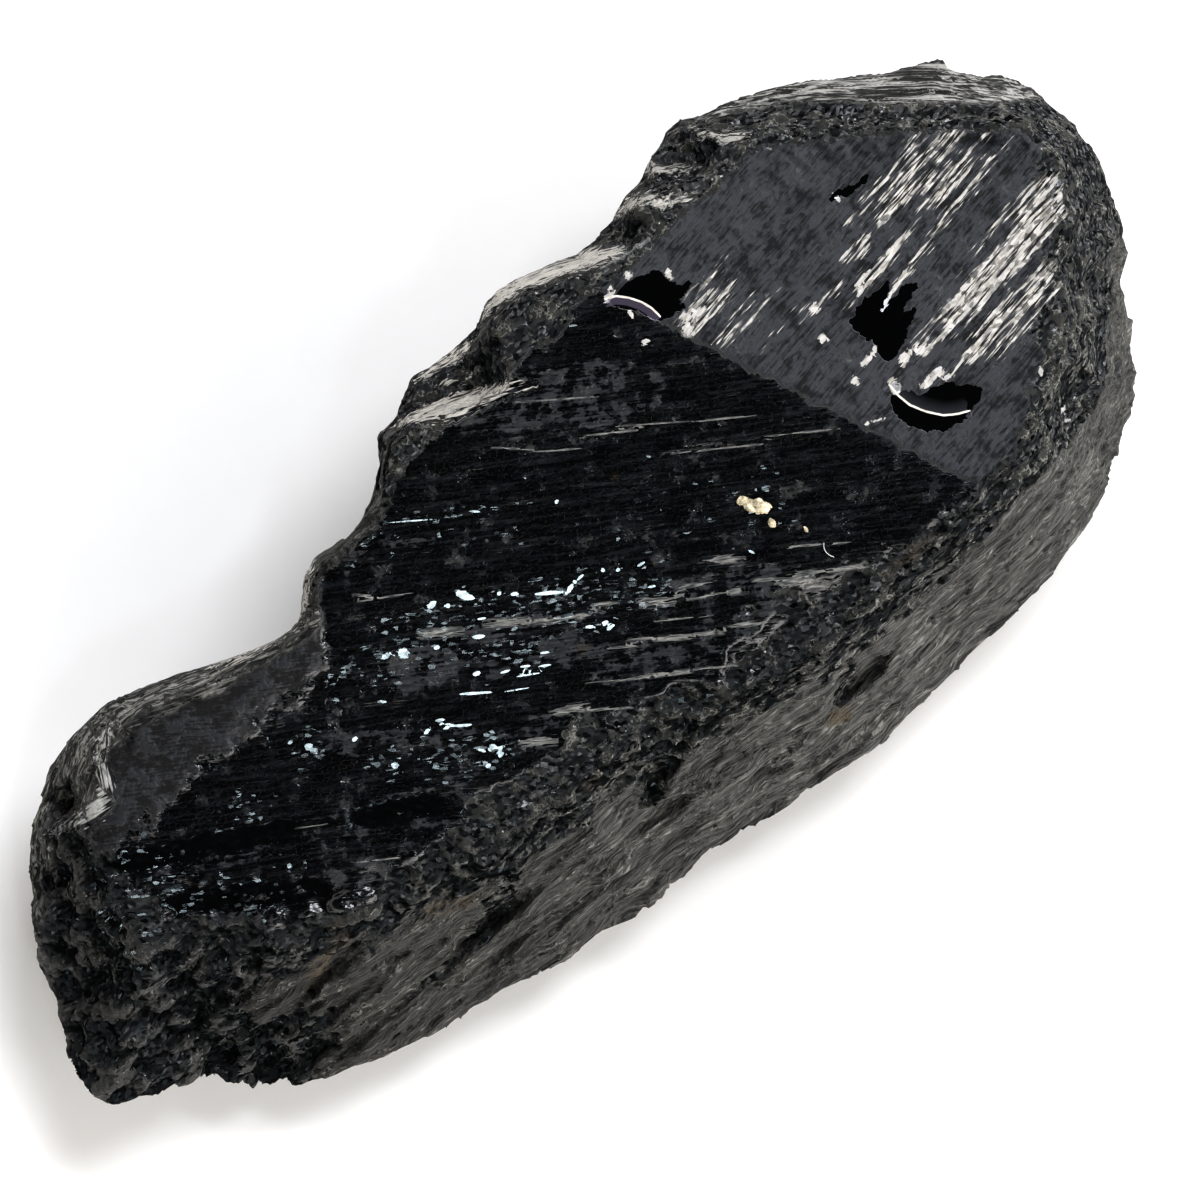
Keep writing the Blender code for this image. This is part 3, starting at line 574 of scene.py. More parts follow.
def ledge_drop(x, y):
    """How far the ledges bring the top down."""
    total = np.zeros(x.shape)
    for corner_x, corner_y, degrees, length, drop in LEDGES:
        along, across = turned(x - corner_x, y - corner_y, degrees)
        end = smooth_step((length - along) / LEDGE_END)
        total += drop * end * smooth_step(across / (LEDGE_WALL * drop))
    return total


def pit_depth(x, y):
    """How far the pits bring the surface down."""
    total = np.zeros(x.shape)
    for centre_x, centre_y, half_length, half_width, degrees, depth in PITS:
        near = np.hypot(x - centre_x, y - centre_y) < 2.0 * half_length
        nx, ny = x[near], y[near]
        along, across = turned(nx - centre_x, ny - centre_y, degrees)
        out = (along / half_length) ** 2 + (across / half_width) ** 2
        ragged = wander(nx / PIT_UNEVEN_SIZE, ny / PIT_UNEVEN_SIZE, 0.0 * nx, centre_x)
        out *= 1.0 + PIT_UNEVEN * ragged
        total[near] = np.maximum(total[near], depth * np.clip(1.0 - out, 0.0, 1.0) ** PIT_BOWL)
    return total


def groove_depth(x, y):
    """How far the grooves bring the main face down."""
    total = np.zeros(x.shape)
    for ax, ay, bx, by, depth in GROOVES:
        length = math.hypot(bx - ax, by - ay)
        along, across = turned(x - ax, y - ay, math.degrees(math.atan2(by - ay, bx - ax)))
        ends = np.sqrt(np.clip(1.0 - (2.0 * along / length - 1.0) ** 2, 0.0, 1.0))
        total += depth * ends * np.exp(-((across / GROOVE_WIDTH) ** 2))
    return total


def tilted_face(point, height, slope, x, y):
    """Height of a flat face through a point, with a slope in X and in Y."""
    return height + slope[0] * (x - point[0]) + slope[1] * (y - point[1])


def side_rise(rise, line, x, y):
    """Height of the side that climbs inwards from the widest line, how steeply it climbs, and how
    far in each place is."""
    away, at = nearest(points_along(line), x, y)
    foot = np.interp(at, column(rise, 0), column(rise, 1))
    slope = np.interp(at, column(rise, 0), column(rise, 2))
    return foot + slope * away, slope, away


class Form:
    """The stone's upper surface over each place in its plan, and which face each place is on."""

    def __init__(self, x, y):
        main = tilted_face(RIDGE_POINT, RIDGE_HEIGHT, MAIN_SLOPE, x, y)
        head = tilted_face(RIDGE_POINT, RIDGE_HEIGHT, HEAD_SLOPE, x, y)
        dull = tilted_face(DULL_POINT, DULL_HEIGHT, DULL_SLOPE, x, y)
        steepness = math.hypot(MAIN_SLOPE[0] - HEAD_SLOPE[0], MAIN_SLOPE[1] - HEAD_SLOPE[1])
        self.past_ridge = (main - head) / steepness
        main = main + SOFTER_RIBS * ribs(MAIN_RIBS, x, y, 3.0) * smooth_step(-self.past_ridge / RIDGE_PLAIN)
        self.grooves = groove_depth(x, y)
        head = head + SOFTER_RIBS * ribs(HEAD_RIBS, x, y, 7.0) * smooth_step(self.past_ridge / HEAD_PLAIN)
        self.drop = ledge_drop(x, y)
        ridged = softer_min(main, head, RIDGE_EDGE)
        faces = softer_min(ridged, dull, DULL_EDGE) - self.drop
        flank, flank_slope, from_front = side_rise(FRONT_RISE, FRONT_LINE, x, y)
        flank = flank + ribs(FLANK_RIBS, x, y, 11.0)
        back, back_slope, from_back = side_rise(BACK_RISE, BACK_LINE, x, y)
        self.from_outline = np.minimum(from_front, from_back)
        side = np.minimum(flank, back)
        self.on_back = back < flank
        self.inside = (side - faces) / np.maximum(1.0, np.where(self.on_back, back_slope, flank_slope))
        crumbly = np.exp(-(((faces - side) / CRUMB_REACH) ** 2))
        crumbs = CRUMB * crumbly * wander(x / CRUMB_SIZE, y / CRUMB_SIZE, side / CRUMB_SIZE, 19.0)
        self.chipped = smooth_step((END_CHIPS_AT - x) / (END_CHIPS_AT - END_CHIPS_WHOLE))
        chips = wander(x / END_CHIP_SIZE[0], y / END_CHIP_SIZE[1], 0.0 * x, 31.0)
        self.pits = SOFTER_PITS * pit_depth(x, y)
        self.height = softer_min(faces, side, BROKEN_EDGE) + crumbs
        self.height += END_CHIP * self.chipped * chips - self.pits


def read_mesh(mesh):
    """Places in millimetres in the stone's plan, and normals."""
    count = len(mesh.vertices)
    place, normal = np.empty(count * 3), np.empty(count * 3)
    mesh.vertices.foreach_get("co", place)
    mesh.vertex_normals.foreach_get("vector", normal)
    place = place.reshape(-1, 3) / MM
    place[:, :2] -= PLAN_SHIFT
    return place, normal.reshape(-1, 3)


def write_mesh(mesh, place):
    """Puts places in millimetres in the stone's plan back in the mesh."""
    moved = place.copy()
    moved[:, :2] += PLAN_SHIFT
    mesh.vertices.foreach_set("co", (moved * MM).ravel())
    mesh.update()


def alone(obj):
    """Makes obj the only selected and the active object."""
    bpy.ops.object.select_all(action="DESELECT")
    obj.select_set(True)
    bpy.context.view_layer.objects.active = obj


def stone_blank(spacing):
    """A copy of the solid, sewn, with an even fine mesh."""
    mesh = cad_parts[NODE].data.copy()
    mesh.materials.clear()
    stone = bpy.data.objects.new("tourmaline_stone", mesh)
    bpy.context.scene.collection.objects.link(stone)
    alone(stone)
    bpy.ops.object.mode_set(mode="EDIT")
    bpy.ops.mesh.select_all(action="SELECT")
    bpy.ops.mesh.remove_doubles(threshold=1e-7)
    bpy.ops.object.mode_set(mode="OBJECT")
    even = stone.modifiers.new("even", "REMESH")
    even.mode = "VOXEL"
    even.voxel_size = spacing
    bpy.ops.object.modifier_apply(modifier=even.name)
    return stone


def thin_below(stone, triangles):
    """Thins the mesh where it faces down, which needs fewer points, to this many triangles in all."""
    normal = read_mesh(stone.data)[1]
    group = stone.vertex_groups.new(name="below")
    group.add([int(i) for i in np.where(normal[:, 2] < -0.1)[0]], 1.0, "REPLACE")
    thin = stone.modifiers.new("thin", "DECIMATE")
    thin.ratio = triangles / (2.0 * len(stone.data.polygons))
    thin.vertex_group = group.name
    thin.vertex_group_factor = 10.0
    alone(stone)
    bpy.ops.object.modifier_apply(modifier=thin.name)
    stone.vertex_groups.clear()


# What the mesh keeps for its material: colour attributes, and what their three columns are.
KEPT = {
    "faces": ("head", "side", "crumb"),
    "finish": ("dull", "rim", "ribbed"),
    "patches": ("sparkle", "streak", "skin"),
    "outlines": ("pool", "wall", "lip"),
    "arcs": ("arc", "arc_on", "groove"),
    "lies": ("lie", "stain", "high"),
    "glint": ("glint_along", "glint_across", "glint_away"),
    "scratch": ("scratch_along", "scratch_across", "scratch_away"),
    "clump": ("clump_along", "clump_across", "clump_away"),
}


def keep(mesh, name, columns):
    """Keeps three numbers for each point of the mesh as a colour attribute."""
    attribute = mesh.attributes.new(name, "FLOAT_COLOR", "POINT")
    rows = np.stack([*columns, np.ones(len(columns[0]))], 1)
    attribute.data.foreach_set("color", rows.astype(np.float32).ravel())


def settle(mesh):
    """Lays the exact form over the even mesh, twice, as walls need a second pass."""
    for _ in range(2):
        place, normal = read_mesh(mesh)
        x, y, z = place.T
        form = Form(x, y)
        up = smooth_step((normal[:, 2] - 0.2) / 0.35)
        move = np.clip((form.height - z) * normal[:, 2], -0.6, 0.6) * up * smooth_step(z / 0.6)
        move *= 0.2 + 0.8 * smooth_step(form.from_outline)
        place += normal * move[:, None]
        write_mesh(mesh, place)


class Zones:
    """Where each finish lies on the stone, from 0 to 1 at each point of its mesh."""

    def __init__(self, place, normal):
        x, y, z = place.T
        self.form = Form(x, y)
        self.up = smooth_step((normal[:, 2] - 0.05) / 0.25)
        self.wobble = wander(x / 2.2, y / 2.2, z / 2.2, 41.0)
        self.small = wander(x / 0.8, y / 0.8, z / 0.8, 43.0)
        self.faces(x, y)
        self.breaks(x, y)
        self.drawn(x, y)
        self.fibres(x, y)

    def faces(self, x, y):
        """The three clean faces, the ribbed side, and the flank, which is all the rest."""
        form, wobble, small = self.form, self.wobble, self.small
        broken = smooth_step((above_line(BREAK_LINE, x, y) + 0.4 * wobble + 0.3 * small) / 0.5)
        self.ribbed = smooth_step((above_line(RIBBED_LINE, x, y) + 0.3 * wobble) / 0.5) * self.up
        wider = 0.5 * smooth_step((x - 33.0) / 6.0)
        on_face = smooth_step((form.inside + 0.2 + wider + 0.6 * wobble + 0.3 * small) / 0.6) * self.up
        on_face *= 1.0 - broken
        self.broken = broken * self.up * (1.0 - self.ribbed)
        self.head = on_face * smooth_step((form.past_ridge + 0.22 * small + 0.2 * wobble + 0.15) / 0.3)
        dull = smooth_step((above_line(DULL_LINE, x, y) + 0.9 * wobble + 0.5 * small + 0.8) / 1.6)
        self.dull = on_face * dull * (1.0 - self.head)
        self.main = np.clip(on_face - self.head - self.dull, 0.0, 1.0)
        self.side = np.clip(1.0 - on_face, 0.0, 1.0)

    def breaks(self, x, y):
        """Crumbly edges and hollows, the bright parted walls, and the grey rim at the narrow end, its grey partly
        a painted reflection of the floor.
        """
        form, wobble, small = self.form, self.wobble, self.small
        self.hollow = ellipse_fade(HOLLOWS, x, y, 1.6 * wobble + 1.4 * small) * self.up
        blunt = smooth_step((x - 28.0) / 6.0)
        crest = (form.inside + 0.7 + 0.5 * blunt + 0.6 * wobble) / (1.1 + 0.6 * blunt)
        crest = np.exp(-(crest**2)) * (~form.on_back) * smooth_step((x + 44.0) / 6.0)
        crest = np.maximum(crest, self.side * smooth_step((x + 0.4 * y - 41.5) / 2.0) * (1.0 - self.ribbed))
        self.end = form.chipped
        near_end = smooth_step((above_line(END_LINE, x, y) + 0.5 * wobble) / 0.8) * self.side
        crest = np.maximum(crest, near_end * (~form.on_back) * smooth_step((-23.0 - x) / 4.0))
        self.crumb = np.maximum.reduce([1.1 * crest, self.end, self.broken])
        self.crumb = np.clip(self.crumb * (1.0 + 0.4 * wobble + 0.3 * small), 0.0, 1.0) * self.up
        self.wall = np.maximum.reduce([inside_outline(rows, x, y) for rows in WALLS])
        self.lip = np.maximum.reduce([inside_outline(rows, x, y) for rows in LIPS])
        inside_wall = smooth_step((self.wall + 0.3) / 0.5)
        self.crumb = np.maximum(self.crumb, self.hollow) * (1.0 - inside_wall)
        rim = (x < -15.0) * form.on_back * smooth_step((1.0 + 0.8 * wobble - form.inside) / 1.2)
        rim *= smooth_step((x + 51.0) / 3.0) * smooth_step((y - 4.0 - 0.6 * (-40.0 - x)) / 3.0)
        narrow = smooth_step((2.2 - form.from_outline + 0.8 * wobble) / 1.5)
        rim *= np.maximum(narrow, smooth_step((x + 40.0) / 4.0))
        self.rim = rim * self.up * (1.0 - self.hollow)
        self.crumb *= 1.0 - 0.6 * self.rim

    def drawn(self, x, y):
        """What the tables draw: pools with their arcs, dashes and patches."""
        wobble, small = self.wobble, self.small
        self.pool = np.maximum.reduce([inside_outline(rows, x, y) for rows in POOLS])
        self.clean = 1.0 - smooth_step((self.pool + 0.3) / 0.4)
        self.crumb *= self.clean
        grey, past_grey = beside_arc(GREY_ARC, x, y)
        lilac_reflection, past_lilac = beside_arc(LILAC_ARC, x, y)
        self.arc = np.where(abs(grey) < abs(lilac_reflection), grey, lilac_reflection)
        self.arc_on = (abs(grey) < 2.5) * (1.0 - past_grey) + 0.5 * (abs(lilac_reflection) < 2.5) * (1.0 - past_lilac)
        self.streak = ellipse_fade(STREAKS, x, y, 0.8 * wobble + 0.9 * small) * self.head * self.clean
        self.sparkle = ellipse_fade(SPARKLES, x, y, wobble + 0.8 * small) * np.maximum(self.main, self.end)
        self.skin = ellipse_fade(SKINS, x, y, wobble + 0.6 * small) * self.main
        self.groove = smooth_step((self.form.grooves + 0.2 * small - 0.05) / 0.4) * self.main * (x < -16.0)
        self.stain = ellipse_fade(STAINS, x, y, wobble)
        self.glint_along, self.glint_across, self.glint_away = nearest_dash(GLINTS, x, y)
        self.scratch_along, self.scratch_across, self.scratch_away = nearest_dash(SCRATCH_HIGHLIGHTS, x, y)
        self.clump_along, self.clump_across, self.clump_away = nearest_dash(CLUMPS, x, y)

    def fibres(self, x, y):
        """Which way the fibres lie."""
        lie = np.where(self.head > 0.5, 7.0, np.where(self.side > 0.5, -2.0, -35.0))
        lie = np.where(self.rim > 0.4, np.where(x < -34.0, 30.0, -22.0), lie)
        lie = np.where(self.lip > -0.3, np.where(x > -36.0, 60.0, -12.0), lie)
        lie = np.where((self.wall > -0.3) & (x > -10.0), -27.0, lie)
        self.lie = np.radians(np.where(self.ribbed > 0.5, -41.0, lie))


def fibre_places(x, y, z, degrees, run, width):
    """Places stretched along a direction, so that one unit is run long and width across."""
    along, across = turned(x, y, degrees)
    return np.stack([along / run, across / width, z / width], 1)


def shape_stone(stone, sizes):
    """Lays the exact form over the even mesh, then cuts its striae, chips and crumbs."""
    mesh = stone.data
    settle(mesh)
    place, normal = read_mesh(mesh)
    x, y, z = place.T
    zones = Zones(place, normal)
    bare = 1.0 - zones.crumb
    hidden = 1.0 - zones.up
    inside_wall = smooth_step((zones.wall + 0.2) / 0.4)
    main_striae = 0.9 * facets(fibre_places(x, y, 0.0 * z, MAIN_RIBS[0], 9.0, 0.9), 3)
    main_striae += 0.5 * facets(fibre_places(x, y, 0.0 * z, MAIN_RIBS[0], 4.0, 0.5), 5)
    calm = 1.0 - 0.6 * zones.skin
    detail = sizes.striae * (zones.main * calm + 0.3 * zones.dull) * bare * main_striae
    head_striae = facets(fibre_places(x, y, 0.0 * z, HEAD_RIBS[0], 6.0, 0.75), 11)
    detail += sizes.striae * zones.head * bare * (0.1 + 0.5 * zones.streak) * head_striae
    bend = 0.5 * zones.wobble
    fibres = 0.8 * facets(fibre_places(x, y + bend, z, -2.0, 4.5, 0.6), 17)
    slabs = 2.0 * facets(fibre_places(x, y + bend, z, 0.0, 9.0, 1.6), 19)
    flank = zones.side * bare * (1.0 - inside_wall) * (1.0 - zones.ribbed)
    detail += sizes.fibres * (flank + 0.3 * hidden) * (fibres + slabs)
    steps = facets(fibre_places(x, y, z, -27.0, 5.0, 0.5), 23)
    detail += 0.5 * sizes.fibres * inside_wall * steps
    layers = facets(fibre_places(x, y, z, -12.0, 5.0, 0.45), 25)
    detail += (0.1 + 0.3 * layers) * smooth_step((zones.lip + 0.3) / 0.4)
    ribbing = facets(fibre_places(x, y, z, -41.0, 9.0, 0.7), 27)
    detail += 0.9 * sizes.fibres * zones.ribbed * ribbing
    crumbs = 1.2 * shells(place / 1.5, 29) + 0.8 * shells(place / 0.75, 31)
    big = 2.8 * shells(place / (3.2, 2.4, 3.0), 37) * zones.end
    from_outline = zones.form.from_outline
    edge = smooth_step((normal[:, 2] - 0.2) / 0.4) * (0.25 + 0.75 * smooth_step(from_outline / 1.5))
    detail += sizes.crumbs * zones.crumb * (0.1 + 0.9 * edge) * (crumbs + big)
    zones.high = crumbs + 0.6 * big + 0.4 * zones.small
    detail += (0.06 * zones.side + 0.05 * zones.dull) * zones.small * zones.up
    detail *= zones.clean * (0.5 + 0.5 * smooth_step(from_outline / 1.2))
    detail -= POOL_DEPTH * smooth_step((zones.pool + 0.2) / 1.3) * zones.up
    detail -= (0.35 * zones.hollow * (1.0 + 0.6 * zones.small) + 0.15 * zones.groove) * edge
    place += normal * (np.clip(detail, -1.6, 0.5) * smooth_step(z / 0.6))[:, None]
    place[:, 2] = np.maximum(place[:, 2], 0.0)
    write_mesh(mesh, place)
    for name, columns in KEPT.items():
        keep(mesh, name, [getattr(zones, column_name) for column_name in columns])


def add(tree, kind, *inputs, named=(), **settings):
    """Adds a shader node with its settings. Inputs go to its shown sockets in order, or by name.
    Each is a number, a colour, a vector, a socket, or a node whose first shown output is meant."""
    node = tree.nodes.new("ShaderNode" + kind)
    for name, value in settings.items():
        setattr(node, name, value)
    shown = [socket for socket in node.inputs if socket.enabled]
    wanted = [*zip(shown, inputs), *((node.inputs[name], value) for name, value in dict(named).items())]
    for socket, value in wanted:
        if isinstance(value, bpy.types.Node):
            value = next(out for out in value.outputs if out.enabled)
        if isinstance(value, bpy.types.NodeSocket):
            tree.links.new(value, socket)
        elif socket.type == "RGBA":
            socket.default_value = (*value[:3], 1.0)
        else:
            socket.default_value = value
    return node


# The camera above is turned by this many degrees over the stone.
PICTURE_TURN = 42.0
# What it looks at, in the stone's plan, and the point that the lights are aimed at, in metres.
PICTURE_CENTRE = (-0.58, -0.64, 13.0)
LIT_POINT = (-0.006, 0.001, 0.02)
SENSOR_WIDTH = 36.0
FLOOR_SIZE = 6.0


def over_picture(angle, elevation):
    """A direction over the stone, by its angle in the picture (90 is up) and its elevation."""
    a, e = math.radians(angle - PICTURE_TURN), math.radians(elevation)
    return (math.cos(a) * math.cos(e), math.sin(a) * math.cos(e), math.sin(e))


# Soft lights: name, angle in the picture, elevation, distance, width, height, brightness, colour.
LIGHTS = [
    ("window", 64.0, 51.0, 1.3, 0.72, 0.40, 13.0, "#f7f9ff"),
    ("lamp", 297.7, 72.0, 1.0, 0.07, 0.07, 26.0, "#e6f8ff"),
]


def between_eye_and(light):
    """The way a facet faces that shows this light to the camera above."""
    _, angle, elevation, *_ = light
    return tuple((Vector(over_picture(angle, elevation)) + Vector((0.0, 0.0, 1.0))).normalized())


TO_WINDOW, TO_LAMP = (between_eye_and(light) for light in LIGHTS)
# The way that glass, grooves and the gaps between crumbs face, which shows the dark overhead.
TO_DARK = (0.05, 0.02, 0.998)


def read_marks(tree):
    """What the stone's mesh keeps for its material, by name."""
    marks = SimpleNamespace()
    for name, columns in KEPT.items():
        attribute = add(tree, "Attribute", attribute_name=name)
        parts = add(tree, "SeparateColor", attribute.outputs["Color"]).outputs
        for column_name, part in zip(columns, parts):
            setattr(marks, column_name, part)
        setattr(marks, name + "_place", attribute.outputs["Color"])
    return marks


# Noise stretched along the fibres: broad bands, long lines and short hairs. Name, length along,
# width across, and detail.
FIBRE_PATTERNS = [
    ("band", 9.0, 1.3, 2.0),
    ("line", 4.5, 0.30, 2.0),
    ("hair", 1.4, 0.17, 1.0),
]
# Facets with a tilt of their own: grains and shell-like chips. Name, length along, width across.
FACET_PATTERNS = [
    ("grain", 0.42, 0.26),
    ("shell", 1.3, 1.0),
]
SCHORL_IOR = 1.64


def stone_patterns(tree, m):
    """Patterns in millimetres that run along the fibres of each face. Noise is about 0.3 to 0.7."""
    at = add(tree, "TexCoord").outputs["Object"]
    m.plan = add(tree, "Mapping", at, (-PLAN_SHIFT[0], -PLAN_SHIFT[1], 0.0), named={"Scale": (1 / MM,) * 3})
    m.along = add(tree, "SeparateXYZ", m.plan).outputs[0]
    # The narrow end is darker and browner than the rest.
    m.warm = add(tree, "MapRange", m.along, -38.0, -4.0)
    m.on_side = add(tree, "MapRange", m.side, 0.4, 0.6)
    # The flank's fibres wave by half a millimetre, the others hardly.
    swirl = add(tree, "TexNoise", m.plan, 0.22, 1.0)
    swirl = add(tree, "VectorMath", swirl.outputs["Color"], (0.5, 0.5, 0.5), operation="SUBTRACT")
    waves = add(tree, "Mix", m.ribbed, add(tree, "MapRange", m.on_side, 0.0, 1.0, 0.3, 2.4), 0.3)
    swirl = add(tree, "VectorMath", swirl, named={"Scale": waves}, operation="SCALE")
    waved = add(tree, "VectorMath", m.plan, swirl, operation="ADD")
    # On the flat faces height is left out, so that the lines there run on.
    upright = add(tree, "CombineXYZ", 1.0, 1.0, m.on_side)
    waved = add(tree, "VectorMath", waved, upright, operation="MULTIPLY")
    turn = add(tree, "Math", m.lie, -1.0, operation="MULTIPLY")
    fibre = add(tree, "VectorRotate", rotation_type="Z_AXIS", named={"Vector": waved, "Angle": turn})
    for name, long, wide, detail in FIBRE_PATTERNS:
        size = (1 / long, 1 / wide, 1 / wide)
        drawn = add(tree, "VectorMath", fibre, size, operation="MULTIPLY")
        setattr(m, name, add(tree, "TexNoise", drawn, 1.0, detail, 0.6).outputs[0])
    for name, long, wide in FACET_PATTERNS:
        size = (1 / long, 1 / wide, 1 / wide)
        drawn = add(tree, "VectorMath", fibre, size, operation="MULTIPLY")
        facet = add(tree, "TexVoronoi", drawn, 1.0)
        off = add(tree, "VectorMath", drawn, facet.outputs["Position"], operation="SUBTRACT")
        tilt = add(tree, "VectorMath", facet.outputs["Color"], (0.5, 0.5, 0.5), operation="SUBTRACT")
        setattr(m, name + "_up", add(tree, "VectorMath", off, tilt, operation="DOT_PRODUCT").outputs["Value"])
        setattr(m, name + "_tilt", tilt)
        setattr(m, name + "_chance", add(tree, "SeparateColor", facet.outputs["Color"]).outputs)
    m.cloud = add(tree, "TexNoise", m.plan, 0.6, 3.0, 0.65).outputs[0]


def weighed(tree, *pairs):
    """The sum of several values, each times its own weight, and of plain numbers."""
    total = sum(pair for pair in pairs if isinstance(pair, float))
    for value, weight in (pair for pair in pairs if isinstance(pair, tuple)):
        total = add(tree, "Math", value, weight, total, operation="MULTIPLY_ADD")
    return total


def stone_masks(tree, m):
    """Sharp ragged patches: 1 where each finish shows and 0 elsewhere."""
    chance = m.grain_chance
    m.glass = add(tree, "MapRange", weighed(tree, (m.pool, 1.0), (m.cloud, 1.6), -0.8), -0.03, 0.03)
    m.bare = add(tree, "Math", 1.0, m.glass, operation="SUBTRACT")
    streak = weighed(tree, (m.streak, 1.0), (m.line, 2.6), (m.hair, 1.4), -2.12)
    streak = add(tree, "MapRange", streak, 0.52, 0.74)
    streak = add(tree, "Math", streak, add(tree, "MapRange", m.streak, 0.05, 0.2), operation="MULTIPLY")
    skin = weighed(tree, (m.skin, 0.6), (m.band, 1.0), (m.line, 0.8), (m.cloud, 1.8), (chance[0], 0.3), -1.98)
    skin = add(tree, "MapRange", skin, 0.36, 0.50)
    m.skin_on = add(tree, "Math", skin, add(tree, "MapRange", m.skin, 0.05, 0.2), operation="MULTIPLY")
    broken_up = weighed(tree, (chance[0], 0.9), (m.hair, 2.4), -1.65)
    fibrous = weighed(tree, (m.hair, 4.5), -2.25)
    blunt = weighed(tree, (m.hair, 1.2), -0.6)
    for name, ragged in (("glint", blunt), ("scratch", fibrous), ("clump", broken_up)):
        place = add(tree, "VectorMath", getattr(m, name + "_place"), (1.0, 1.0, 0.0), operation="MULTIPLY")
        out = add(tree, "VectorMath", place, operation="LENGTH").outputs["Value"]
        out = add(tree, "Math", out, ragged, operation="ADD")
        near = add(tree, "MapRange", getattr(m, name + "_away"), 0.10, 0.20, 1.0, 0.0)
        on = add(tree, "MapRange", out, 1.0, 1.2, 1.0, 0.0)
        setattr(m, name + "_on", add(tree, "Math", on, near, operation="MULTIPLY"))
    arc_line = add(tree, "MapRange", add(tree, "Math", m.arc, operation="ABSOLUTE"), 0.05, 0.10, 1.0, 0.0)
    on_arc = add(tree, "MapRange", m.arc_on, 0.3, 0.4)
    m.arc_line = add(tree, "Math", arc_line, on_arc, operation="MULTIPLY")
    streak = add(tree, "Math", streak, m.bare, operation="MULTIPLY")
    whole = add(tree, "MapRange", chance[1], 0.0, 0.5, 0.3, 1.0)
    streak = add(tree, "Math", streak, whole, operation="MULTIPLY")
    m.white_on = add(tree, "Math", streak, m.clump_on, operation="MAXIMUM")
    satin = weighed(tree, (m.line, 0.3), (m.hair, 0.45), (m.cloud, 0.8), (chance[0], 0.16))
    m.satin = add(tree, "MapRange", satin, 0.70, 0.90)
    m.ridged = weighed(tree, (m.high, 0.7), (chance[0], 0.45), (m.cloud, 0.6), -0.52)
    m.ridges = add(tree, "MapRange", m.ridged, 0.08, 0.5)
    sparkle = weighed(tree, (chance[0], 1.0), (m.sparkle, 0.29), (m.skin_on, -0.12))
    sparkle = add(tree, "MapRange", sparkle, 1.0, 1.14, 0.74, 1.0)
    whole = add(tree, "Math", sparkle, 0.741, operation="GREATER_THAN")
    sparkle = add(tree, "Math", sparkle, whole, operation="MULTIPLY")
    cut = add(tree, "Math", m.hair, 0.47, operation="GREATER_THAN")
    m.sparkle_on = add(tree, "Math", sparkle, cut, operation="MULTIPLY")
    dull = weighed(tree, (m.dull, 0.8), (m.cloud, 1.6), (chance[1], 0.3), -0.85)
    m.dull_on = add(tree, "MapRange", dull, 0.42, 0.56)
    mottled = weighed(tree, (m.cloud, 0.8), (m.hair, 0.4), (chance[1], 0.1))
    m.mottled = add(tree, "MapRange", mottled, 0.60, 0.72)
    line = weighed(tree, (m.line, 0.6), (m.cloud, 0.6), (chance[2], 0.15), (m.hair, 0.3))
    m.line_on = add(tree, "MapRange", line, 0.78, 0.96)
    m.crumb_on = add(tree, "MapRange", weighed(tree, (m.crumb, 1.0), (m.cloud, 0.8), -0.4), 0.06, 0.24)
    # Between the crumbs, where light hardly gets.
    low = add(tree, "Math", 1.0, m.ridges, operation="SUBTRACT")
    m.low = add(tree, "Math", low, m.crumb_on, operation="MULTIPLY")
    wall = weighed(tree, (m.wall, 1.0), (m.line, 2.6), (m.hair, 1.0), -1.95)
    m.wall_on = add(tree, "MapRange", wall, -0.04, 0.10)
    lip = weighed(tree, (m.lip, 1.0), (m.line, 2.6), (m.hair, 1.0), -1.9)
    m.lip_on = add(tree, "MapRange", lip, -0.04, 0.10)


